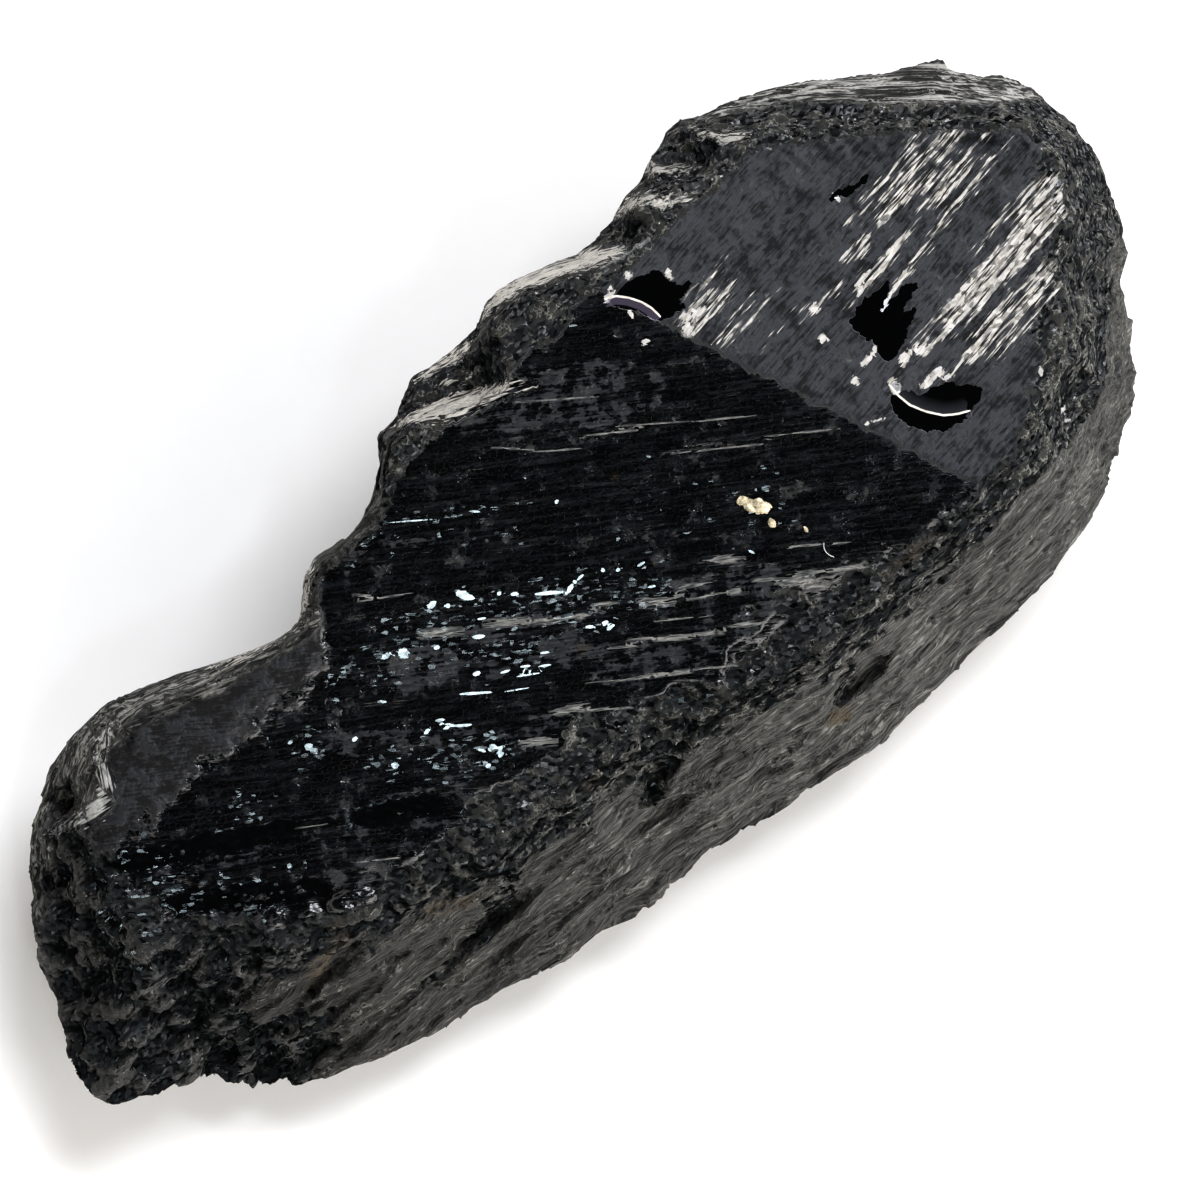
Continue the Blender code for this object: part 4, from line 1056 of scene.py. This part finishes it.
def shade_relief(tree, m, shader):
    """Relief in millimetres, and facets that face one way: the head's white streaks turn to the
    window, the main face's sparkles to the small lamp, and glass and low places to the dark overhead."""
    lined = add(tree, "Mix", m.on_side, 0.05, 0.45)
    lined = add(tree, "Mix", m.dull, lined, 0.10)
    lined = add(tree, "Mix", m.ribbed, lined, 0.70)
    lined = add(tree, "Math", lined, m.line, operation="MULTIPLY")
    hairy = add(tree, "Mix", m.on_side, add(tree, "Mix", m.head, 0.02, 0.06), 0.16)
    hairy = add(tree, "Math", hairy, m.hair, operation="MULTIPLY")
    fibrous = weighed(tree, (lined, 1.0), (hairy, 1.0))
    clear = add(tree, "MapRange", m.crumb_on, 0.0, 1.0, 1.0, 0.25)
    fibrous = add(tree, "Math", fibrous, clear, operation="MULTIPLY")
    grains = add(tree, "MapRange", m.sparkle, 0.0, 1.0, 0.02, 0.05)
    grains = add(tree, "Mix", m.crumb_on, grains, 0.30)
    grains = add(tree, "Math", grains, m.grain_up, operation="MULTIPLY")
    chips = add(tree, "Mix", m.crumb_on, 0.0, 0.5)
    chips = add(tree, "Math", chips, m.shell_up, operation="MULTIPLY")
    mottled = add(tree, "Math", m.dull, 0.9, operation="MULTIPLY")
    mottled = add(tree, "Math", m.cloud, mottled, operation="MULTIPLY")
    relief = weighed(tree, (fibrous, 1.0), (grains, 1.0), (chips, 1.0), (mottled, 1.0))
    relief = add(tree, "Math", relief, m.bare, operation="MULTIPLY")
    faced = add(tree, "Bump", 1.0, MM, named={"Height": relief}).outputs["Normal"]
    to_window = add(tree, "Math", m.white_on, m.arc_line, operation="MAXIMUM")
    for mask, toward, spread in (
        (m.low, TO_DARK, 0.35),
        (m.glass, TO_DARK, 0.0),
        (m.groove, TO_DARK, 0.2),
        (to_window, TO_WINDOW, 0.24),
        (m.sparkle_on, TO_LAMP, 0.08),
        (m.glint_on, TO_LAMP, 0.02),
    ):
        aside = add(tree, "VectorMath", m.grain_tilt, named={"Scale": spread}, operation="SCALE")
        aside = add(tree, "VectorMath", aside, toward, operation="ADD")
        faced = add(tree, "Mix", mask, faced, aside, data_type="VECTOR").outputs[1]
    faced = add(tree, "VectorMath", faced, operation="NORMALIZE")
    tree.links.new(faced.outputs["Vector"], shader.inputs["Normal"])


def shade_colour(tree, m, shader, tones):
    """Colour, laid on from the broadest to the smallest. Each layer: its mask, and the two tones
    that it wanders between, with what carries it from one to the other."""
    warm = m.warm
    # Painted light and shade on the flank: its grey is partly its own and partly a painted reflection of the
    # bright floor, the gaps between its fibres are painted dark as shade, and the crests of its fibres are painted
    # pale as highlights.
    flank = add(tree, "Mix", warm, tones.flank_olive, tones.flank_grey, data_type="RGBA").outputs[2]
    grown = weighed(tree, (m.line, 0.7), (m.hair, 0.4), (m.band, 0.5))
    fine = add(tree, "MapRange", grown, 0.68, 0.86)
    lit_crests = add(tree, "MapRange", grown, 0.88, 1.06)
    # Pale lines, like a net, along the ridges between chips.
    net = add(tree, "Math", add(tree, "Math", m.cloud, 0.5, operation="SUBTRACT"), operation="ABSOLUTE")
    net = add(tree, "MapRange", net, 0.004, 0.026, 1.0, 0.0)
    net = add(tree, "Math", net, add(tree, "MapRange", m.ridged, -0.05, 0.2), operation="MULTIPLY")
    net = add(tree, "Math", net, m.crumb_on, operation="MULTIPLY")
    # Painted sheen and shade on the ribbed side: the tops of its ribs are painted pale, the gaps between them
    # dark.
    lit_rib_tops = weighed(tree, (m.line, 1.2), (m.band, 0.5), (m.hair, 0.3))
    lit_rib_tops = add(tree, "MapRange", lit_rib_tops, 0.95, 1.13)
    # Painted sheen: the parted walls of the ledges are painted pale, a little less so beyond X 16.
    further = add(tree, "MapRange", m.along, 16.0, 19.0)
    wall_sheen = weighed(tree, (m.line, 0.7), (m.hair, 0.5), (further, -0.10))
    wall_sheen = add(tree, "MapRange", wall_sheen, 0.50, 0.68)
    # Painted shade: the hollows between crumbs and chips are painted black and the ridges between them lighter,
    # with more black towards the narrow end.
    ridges = add(tree, "MapRange", warm, 0.0, 0.3, 0.3, 1.0)
    ridges = add(tree, "Math", m.ridges, ridges, operation="MULTIPLY")
    layers = [
        # The grey skins are partly their own colour and partly a painted sheen.
        (m.skin_on, add(tree, "MapRange", m.hair, 0.35, 0.65), tones.line, tones.skin),
        (m.head, m.satin, tones.head_dark, tones.head_grey),
        (m.dull_on, m.mottled, tones.black, tones.dull),
        (m.on_side, fine, tones.gap, flank),
        (add(tree, "Math", m.on_side, lit_crests, operation="MULTIPLY"), m.hair, flank, tones.fibre),
        (m.crumb_on, ridges, tones.black, tones.lit_ridge),
        (add(tree, "Math", net, 0.45, operation="MULTIPLY"), warm, tones.flank_olive, tones.fibre),
        # The rim's grey is partly its own and partly a painted reflection of the floor.
        (add(tree, "MapRange", m.rim, 0.2, 0.6), add(tree, "MapRange", grown, 0.76, 0.98), tones.gap, tones.fibre),
        (m.ribbed, lit_rib_tops, tones.gap, tones.rib_sheen),
        (m.wall_on, wall_sheen, tones.fibre, tones.wall),
        # Painted reflection: the lip's layers are painted pale.
        (m.lip_on, add(tree, "MapRange", grown, 0.74, 0.88), tones.flank_grey, tones.rib_sheen),
        (add(tree, "Math", m.stain, fine, operation="MULTIPLY"), m.hair, tones.stain, tones.stain),
        # Painted highlights: the scratches are painted pale.
        (m.scratch_on, add(tree, "MapRange", m.hair, 0.35, 0.65), tones.skin, tones.fibre),
        # The head's streaks and clumps are painted white, partly their own colour and partly a painted highlight
        # of the window.
        (m.white_on, m.hair, tones.skin, tones.white),
        (m.groove, m.hair, tones.black, tones.black),
        (m.glass, m.hair, tones.black, tones.black),
    ]
    colour = add(tree, "Mix", m.line_on, tones.black, tones.line, data_type="RGBA").outputs[2]
    for mask, carried, low, high in layers:
        layer = add(tree, "Mix", carried, low, high, data_type="RGBA").outputs[2]
        colour = add(tree, "Mix", mask, colour, layer, data_type="RGBA").outputs[2]
    # Painted reflection beside the lit steps: grey right of the first arc, lilac left of the second. The steps
    # themselves are painted white as highlights.
    right = add(tree, "MapRange", m.arc, 0.1, 1.1, 1.0, 0.0)
    right = add(tree, "Math", right, add(tree, "Math", m.arc, 0.0, operation="GREATER_THAN"), operation="MULTIPLY")
    right = add(tree, "Math", right, add(tree, "MapRange", m.arc_on, 0.7, 0.9), operation="MULTIPLY")
    left = add(tree, "MapRange", m.arc, -0.62, -0.55)
    left = add(tree, "Math", left, add(tree, "Math", m.arc, 0.0, operation="LESS_THAN"), operation="MULTIPLY")
    left = add(tree, "Math", left, add(tree, "MapRange", m.arc_on, 0.3, 0.4), operation="MULTIPLY")
    left = add(tree, "Math", left, add(tree, "MapRange", m.arc_on, 0.7, 0.8, 1.0, 0.0), operation="MULTIPLY")
    colour = add(tree, "Mix", right, colour, tones.skin, data_type="RGBA").outputs[2]
    colour = add(tree, "Mix", left, colour, tones.lilac_reflection, data_type="RGBA").outputs[2]
    colour = add(tree, "Mix", m.arc_line, colour, tones.white, data_type="RGBA").outputs[2]
    tree.links.new(colour, shader.inputs["Base Color"])


def shade_roughness(tree, m, shader):
    """Roughness: glass 0.05, clean faces about 0.2, the head's satin 0.7 and more, and the broken
    sides nearly matt, with single glossy grains in them."""
    rough = weighed(tree, (m.line, 0.8), (m.grain_chance[1], 0.15))
    rough = add(tree, "MapRange", rough, 0.38, 0.62, 0.15, 0.32)
    satin_rough = add(tree, "MapRange", m.satin, 0.0, 1.0, 0.98, 0.72)
    dull_rough = add(tree, "MapRange", m.mottled, 0.0, 1.0, 0.95, 0.62)
    ridge_rough = add(tree, "MapRange", m.warm, 0.0, 1.0, 0.6, 0.9)
    worn_rough = add(tree, "MapRange", m.ridged, 0.0, 0.35, 0.38, ridge_rough)
    grain_rough = add(tree, "MapRange", m.grain_chance[2], 0.85, 0.87)
    grain_rough = add(tree, "Mix", grain_rough, worn_rough, 0.25)
    layers = [
        (m.skin_on, 0.46), (m.dull_on, dull_rough), (m.head, satin_rough), (m.on_side, 0.86),
        (m.crumb_on, grain_rough), (m.rim, 0.9), (m.ribbed, 0.85), (m.wall_on, 0.6),
        (m.scratch_on, 0.45), (m.groove, 0.15), (m.white_on, 0.32), (m.sparkle_on, 0.18),
        (m.glint_on, 0.12), (m.glass, 0.05), (m.arc_line, 0.3),
    ]
    for mask, value in layers:
        rough = add(tree, "Mix", mask, rough, value)
    tree.links.new(rough.outputs[0], shader.inputs["Roughness"])


def stone_material(tones):
    """Schorl, black tourmaline: glassy and near black where it parted cleanly, satin on the head,
    grey and fibrous where it broke along its fibres, and crumbly along its broken edges. That grey
    is partly a painted reflection of the floor, and painted shade and highlights lie in its gaps,
    hollows, crests and streaks."""
    material = bpy.data.materials.new("schorl tourmaline")
    material.use_nodes = True
    tree = material.node_tree
    shader = tree.nodes["Principled BSDF"]
    marks = read_marks(tree)
    stone_patterns(tree, marks)
    stone_masks(tree, marks)
    shade_relief(tree, marks, shader)
    shade_colour(tree, marks, shader, tones)
    shade_roughness(tree, marks, shader)
    shader.inputs["IOR"].default_value = SCHORL_IOR
    return material


def feldspar_material(tones):
    """Cream feldspar: a dull grain with a faint glow, whiter and browner by turns over half a millimetre."""
    material = bpy.data.materials.new("cream feldspar")
    material.use_nodes = True
    tree = material.node_tree
    shader = tree.nodes["Principled BSDF"]
    at = add(tree, "TexCoord").outputs["Object"]
    cloud = add(tree, "TexNoise", at, 1.6 / MM, 3.0, 0.6)
    colour = add(tree, "Mix", add(tree, "MapRange", cloud, 0.35, 0.62), tones.brown, tones.cream, data_type="RGBA")
    tree.links.new(colour.outputs[2], shader.inputs["Base Color"])
    bump = add(tree, "Bump", 1.0, MM, named={"Height": add(tree, "Math", cloud, 0.12, operation="MULTIPLY")})
    tree.links.new(bump.outputs["Normal"], shader.inputs["Normal"])
    shader.inputs["Roughness"].default_value = 0.5
    return material


def lint_material(tones):
    """Cotton lint: white, matt, a little greyer by turns along its length."""
    material = bpy.data.materials.new("cotton lint")
    material.use_nodes = True
    tree = material.node_tree
    shader = tree.nodes["Principled BSDF"]
    at = add(tree, "TexCoord").outputs["Object"]
    cloud = add(tree, "TexNoise", at, 2.0 / MM, 2.0)
    grey = tuple(0.7 * c for c in tones.colour)
    colour = add(tree, "Mix", cloud, tones.colour, grey, data_type="RGBA")
    tree.links.new(colour.outputs[2], shader.inputs["Base Color"])
    shader.inputs["Roughness"].default_value = 0.8
    return material


def colour_of(name, description, hex_colour):
    """A colour setting for the panel."""
    return bpy.props.FloatVectorProperty(
        name=name, description=description, default=linear(hex_colour),
        subtype="COLOR", size=3, min=0.0, max=1.0,
    )


class TourmalineStone(bpy.types.PropertyGroup):
    """Sizes and colours of the stone."""

    spacing: bpy.props.FloatProperty(
        name="Mesh spacing", description="Spacing of the stone's fine mesh", default=0.00028,
        unit="LENGTH", precision=5,
    )
    striae: bpy.props.FloatProperty(
        name="Striae", description="Height of the striae on the broad faces, in millimetres", default=0.10
    )
    fibres: bpy.props.FloatProperty(
        name="Fibres", description="Height of the fibres on the flank, in millimetres", default=0.42
    )
    crumbs: bpy.props.FloatProperty(
        name="Crumbs", description="Height of the crumbs on broken edges, in millimetres", default=0.55
    )
    black: colour_of("Black", "Clean faces of the stone", "#08090b")
    line: colour_of("Lines", "Duller lines along the main face", "#15171b")
    # Partly a painted sheen on the skins of the main face.
    skin: colour_of("Skins", "Grey skins on the main face", "#38393c")
    head_dark: colour_of("Head dark", "Darker lines of the head", "#0c0d10")
    head_grey: colour_of("Head grey", "Satin of the head", "#24272d")
    dull: colour_of("Dull face", "The matt face at the narrow end", "#1e2025")
    # Painted shade between the fibres. The flank's olive and grey are partly their own and partly a painted
    # reflection of the floor, and the pale fibres are painted highlights on their crests.
    gap: colour_of("Gaps", "Between the fibres of the flank", "#121210")
    flank_olive: colour_of("Flank olive", "Flank at the narrow end", "#24231e")
    flank_grey: colour_of("Flank grey", "Flank towards the head", "#484845")
    fibre: colour_of("Pale fibres", "Crests of the fibres", "#9a9993")
    # Painted light and shade: the ridges between crumbs, painted lighter than the black painted shade in the
    # hollows.
    lit_ridge: colour_of("Chip ridges", "Worn ridges between crumbs and chips", "#353530")
    # Painted sheen on the tops of the ribs, and on the layers of the lip.
    rib_sheen: colour_of("Ribs", "Bright ribs of the ribbed side", "#a5a4a0")
    # Painted sheen of the parted walls.
    wall: colour_of("Ledge walls", "Freshly parted walls of the ledges", "#b9b5ae")
    # Partly a painted highlight of the window on the head's streaks and clumps.
    white: colour_of("White streaks", "Shining fibres of the head", "#b3ac9d")
    # Painted reflection in the glass beside a lit step.
    lilac_reflection: colour_of("Lilac", "Glass beside a lit step", "#4a4550")
    stain: colour_of("Stains", "Ochre stains on the flank", "#4c4334")


class TOURMALINE_OT_stone(bpy.types.Operator):
    """Shape the stone from the solid and give it its lustre"""

    bl_idname = "tourmaline.stone"
    bl_label = "Stone"

    def execute(self, context):
        sizes = context.scene.tourmaline_stone
        stone = stone_blank(sizes.spacing)
        thin_below(stone, TRIANGLES)
        shape_stone(stone, sizes)
        stone.data.materials.append(stone_material(sizes))
        alone(stone)
        bpy.ops.object.shade_smooth()
        print("stone triangles", sum(len(p.vertices) - 2 for p in stone.data.polygons))
        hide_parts(NODE)
        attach(stone, BODY)
        return {"FINISHED"}


# Grains of feldspar stuck on the main face: name, X and Y, half length, half width, direction.
GRAINS = [
    ("feldspar_grain", 12.2, -3.2, 0.95, 0.50, -52.0),
    ("feldspar_lobe", 11.65, -2.15, 0.42, 0.30, -20.0),
    ("feldspar_crumb", 12.15, -4.75, 0.34, 0.26, 75.0),
    ("feldspar_speck", 13.65, -6.7, 0.22, 0.12, 80.0),
]


def on_stone(x, y):
    """The point of the stone's surface over a place in its plan."""
    stone = bpy.data.objects["tourmaline_stone"]
    above = Vector(((x + PLAN_SHIFT[0]) * MM, (y + PLAN_SHIFT[1]) * MM, 0.1))
    hit, point, _, _ = stone.ray_cast(above, Vector((0.0, 0.0, -1.0)))
    if not hit:
        raise ValueError(f"nothing of the stone lies under {x}, {y}")
    return point


class FeldsparGrains(bpy.types.PropertyGroup):
    """Shape and colours of the feldspar grains."""

    uneven: bpy.props.FloatProperty(
        name="Uneven", description="Share of the size that facets take", default=0.55
    )
    cream: colour_of("Cream", "The grains", "#e9dfc4")
    brown: colour_of("Brown", "Duller parts of the grains", "#9a8f78")


class TOURMALINE_OT_grains(bpy.types.Operator):
    """Set the feldspar grains on the main face"""

    bl_idname = "tourmaline.grains"
    bl_label = "Feldspar grains"

    def execute(self, context):
        settings = context.scene.tourmaline_grains
        material = feldspar_material(settings)
        for salt, row in enumerate(GRAINS):
            grain = self.grain(row, salt, settings.uneven)
            grain.data.materials.append(material)
            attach(grain, BODY)
        return {"FINISHED"}

    def grain(self, row, salt, uneven):
        name, x, y, half_length, half_width, degrees = row
        bpy.ops.object.select_all(action="DESELECT")
        bpy.ops.mesh.primitive_ico_sphere_add(subdivisions=5, radius=1.0)
        grain = bpy.context.active_object
        grain.name = name
        mesh = grain.data
        place = np.empty(len(mesh.vertices) * 3)
        mesh.vertices.foreach_get("co", place)
        place = place.reshape(-1, 3)
        broken = facets(1.6 * place + 5.0 * salt, 61 + salt) + 0.4 * facets(4.0 * place, 67)
        place *= 1.0 + uneven * broken[:, None]
        along, across = place[:, 0] * half_length, place[:, 1] * half_width
        gx, gy = turned(along, across, -degrees)
        base = on_stone(x, y)
        place = np.stack([gx * MM + base[0], gy * MM + base[1], 0.75 * place[:, 2] * half_width * MM + base[2]], 1)
        mesh.vertices.foreach_set("co", place.ravel())
        mesh.update()
        return grain


# A lint fibre curled on the main face.
LINT = [(13.95, -8.25), (13.72, -8.45), (13.60, -8.80), (13.63, -9.15), (13.80, -9.50)]


class LintFibre(bpy.types.PropertyGroup):
    """Size and colour of the lint fibre."""

    radius: bpy.props.FloatProperty(
        name="Radius", description="Half the fibre's thickness", default=0.00003,
        unit="LENGTH", precision=6,
    )
    arch: bpy.props.FloatProperty(
        name="Arch", description="How far its middle stands off the stone", default=0.00025,
        unit="LENGTH", precision=5,
    )
    colour: colour_of("Lint", "The fibre", "#d9d8d4")


class TOURMALINE_OT_lint(bpy.types.Operator):
    """Lay the lint fibre on the main face"""

    bl_idname = "tourmaline.lint"
    bl_label = "Lint fibre"

    def execute(self, context):
        settings = context.scene.tourmaline_lint
        curve = bpy.data.curves.new("lint_fibre", "CURVE")
        curve.dimensions = "3D"
        curve.bevel_depth = settings.radius
        curve.bevel_resolution = 3
        curve.use_fill_caps = True
        spline = curve.splines.new("NURBS")
        spline.points.add(len(LINT) - 1)
        for k, (x, y) in enumerate(LINT):
            off = settings.radius + settings.arch * math.sin(math.pi * k / (len(LINT) - 1))
            spline.points[k].co = (*(on_stone(x, y) + Vector((0.0, 0.0, off))), 1.0)
        spline.use_endpoint_u = True
        spline.order_u = 3
        fibre = bpy.data.objects.new("lint_fibre", curve)
        context.scene.collection.objects.link(fibre)
        alone(fibre)
        bpy.ops.object.convert(target="MESH")
        fibre = context.active_object
        fibre.data.materials.clear()
        fibre.data.materials.append(lint_material(settings))
        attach(fibre, BODY)
        return {"FINISHED"}


# The room is bright up to the first of these heights and dark above the second, and brightest low
# down in front of the flank: how bright it is at the back and at the front.
RING_HEIGHTS = (0.48, 0.66)
RING_DARK = 0.02
FRONT = (0.25, -0.97, 0.0)
BACK_AND_FRONT = (1.05, 3.8)


class TourmalineStage(bpy.types.PropertyGroup):
    """The floor, the light and the camera."""

    floor_colour: bpy.props.FloatVectorProperty(
        name="Floor", description="Pale painted board", default=linear("#f4f3f1"), subtype="COLOR", size=3
    )
    lens: bpy.props.FloatProperty(
        name="Lens", description="Focal length of the camera, in millimetres", default=400.0
    )
    picture_width: bpy.props.FloatProperty(
        name="Picture width", description="Width of the picture at the stone", default=0.0864, unit="LENGTH"
    )


class TOURMALINE_OT_stage(bpy.types.Operator):
    """Lay the floor, hang the lights and place the camera"""

    bl_idname = "tourmaline.stage"
    bl_label = "Stage"

    def execute(self, context):
        stage = context.scene.tourmaline_stage
        self.floor(stage)
        for row in LIGHTS:
            self.light(context, row)
        self.camera(context, stage)
        self.surroundings(context)
        context.scene.view_settings.view_transform = "Standard"
        context.scene.view_settings.look = "High Contrast"
        return {"FINISHED"}

    def floor(self, stage):
        bpy.ops.object.select_all(action="DESELECT")
        bpy.ops.mesh.primitive_plane_add(size=FLOOR_SIZE, location=(0.0, 0.0, -0.0001))
        floor = bpy.context.active_object
        floor.name = "floor"
        material = bpy.data.materials.new("painted board")
        material.use_nodes = True
        tree = material.node_tree
        shader = tree.nodes["Principled BSDF"]
        at = add(tree, "TexCoord").outputs["Object"]
        mottle = add(tree, "TexNoise", at, 260.0, 3.0)
        shade = tuple(0.97 * c for c in stage.floor_colour)
        colour = add(tree, "Mix", mottle, tuple(stage.floor_colour), shade, data_type="RGBA")
        tree.links.new(colour.outputs[2], shader.inputs["Base Color"])
        shader.inputs["Roughness"].default_value = 0.7
        floor.data.materials.append(material)

    def light(self, context, row):
        """A soft light aimed at the stone, as strong as it needs to be for its face's brightness."""
        name, angle, elevation, distance, width, height, brightness, colour = row
        data = bpy.data.lights.new(name, "AREA")
        data.shape = "RECTANGLE"
        data.size, data.size_y = width, height
        data.energy = brightness * math.pi * width * height
        data.color = linear(colour)
        light = bpy.data.objects.new(name, data)
        context.scene.collection.objects.link(light)
        toward = Vector(over_picture(angle, elevation))
        light.location = Vector(LIT_POINT) + toward * distance
        light.rotation_euler = toward.to_track_quat("Z", "Y").to_euler()
        light.visible_camera = False

    def camera(self, context, stage):
        data = bpy.data.cameras.new("camera")
        data.lens = stage.lens
        data.sensor_width = SENSOR_WIDTH
        camera = bpy.data.objects.new("camera", data)
        context.scene.collection.objects.link(camera)
        distance = stage.picture_width * stage.lens / SENSOR_WIDTH
        centre = (Vector(PICTURE_CENTRE) + Vector((*PLAN_SHIFT, 0.0))) * MM
        camera.location = centre + Vector((0.0, 0.0, distance))
        camera.rotation_euler = (0.0, 0.0, -math.radians(PICTURE_TURN))
        data.clip_start, data.clip_end = 0.01, 20.0
        context.scene.camera = camera

    def surroundings(self, context):
        """A dim room round the stone, pale only where the camera sees past the floor."""
        world = bpy.data.worlds.new("studio")
        context.scene.world = world
        world.use_nodes = True
        tree = world.node_tree
        tree.nodes.clear()
        seen = add(tree, "LightPath").outputs["Is Camera Ray"]
        toward = add(tree, "TexCoord").outputs["Generated"]
        high = add(tree, "SeparateXYZ", toward).outputs[2]
        ring = add(tree, "MapRange", high, *RING_HEIGHTS, 1.0, RING_DARK, interpolation_type="SMOOTHSTEP")
        front = add(tree, "VectorMath", toward, FRONT, operation="DOT_PRODUCT").outputs["Value"]
        front = add(tree, "MapRange", front, 0.0, 0.9, *BACK_AND_FRONT)
        ring = add(tree, "Math", ring, front, operation="MULTIPLY")
        tent = add(tree, "Background", (1.0, 0.975, 0.955), ring)
        pale = add(tree, "Background", (0.9, 0.9, 0.9), 1.0)
        both = add(tree, "MixShader", seen, tent, pale)
        add(tree, "OutputWorld", both)


class TOURMALINE_PT_panel(bpy.types.Panel):
    """The pieces of the tourmaline fragment"""

    bl_idname = "TOURMALINE_PT_panel"
    bl_label = "Tourmaline"
    bl_space_type = "VIEW_3D"
    bl_region_type = "UI"
    bl_category = "Tourmaline"

    def draw(self, context):
        for settings, operator in (
            (context.scene.tourmaline_stone, "tourmaline.stone"),
            (context.scene.tourmaline_grains, "tourmaline.grains"),
            (context.scene.tourmaline_lint, "tourmaline.lint"),
            (context.scene.tourmaline_stage, "tourmaline.stage"),
        ):
            box = self.layout.box()
            box.operator(operator)
            for name in settings.__annotations__:
                box.prop(settings, name)


SETTINGS = {
    "tourmaline_stone": TourmalineStone,
    "tourmaline_grains": FeldsparGrains,
    "tourmaline_lint": LintFibre,
    "tourmaline_stage": TourmalineStage,
}
CLASSES = (
    *SETTINGS.values(),
    TOURMALINE_OT_stone,
    TOURMALINE_OT_grains,
    TOURMALINE_OT_lint,
    TOURMALINE_OT_stage,
    TOURMALINE_PT_panel,
)


def register():
    for made in CLASSES:
        bpy.utils.register_class(made)
    for name, settings in SETTINGS.items():
        setattr(bpy.types.Scene, name, bpy.props.PointerProperty(type=settings))


def unregister():
    for name in SETTINGS:
        delattr(bpy.types.Scene, name)
    for made in reversed(CLASSES):
        bpy.utils.unregister_class(made)


def main():
    register()
    bpy.ops.tourmaline.stone()
    bpy.ops.tourmaline.grains()
    bpy.ops.tourmaline.lint()
    bpy.ops.tourmaline.stage()
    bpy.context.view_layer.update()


if __name__ == "__main__":
    main()
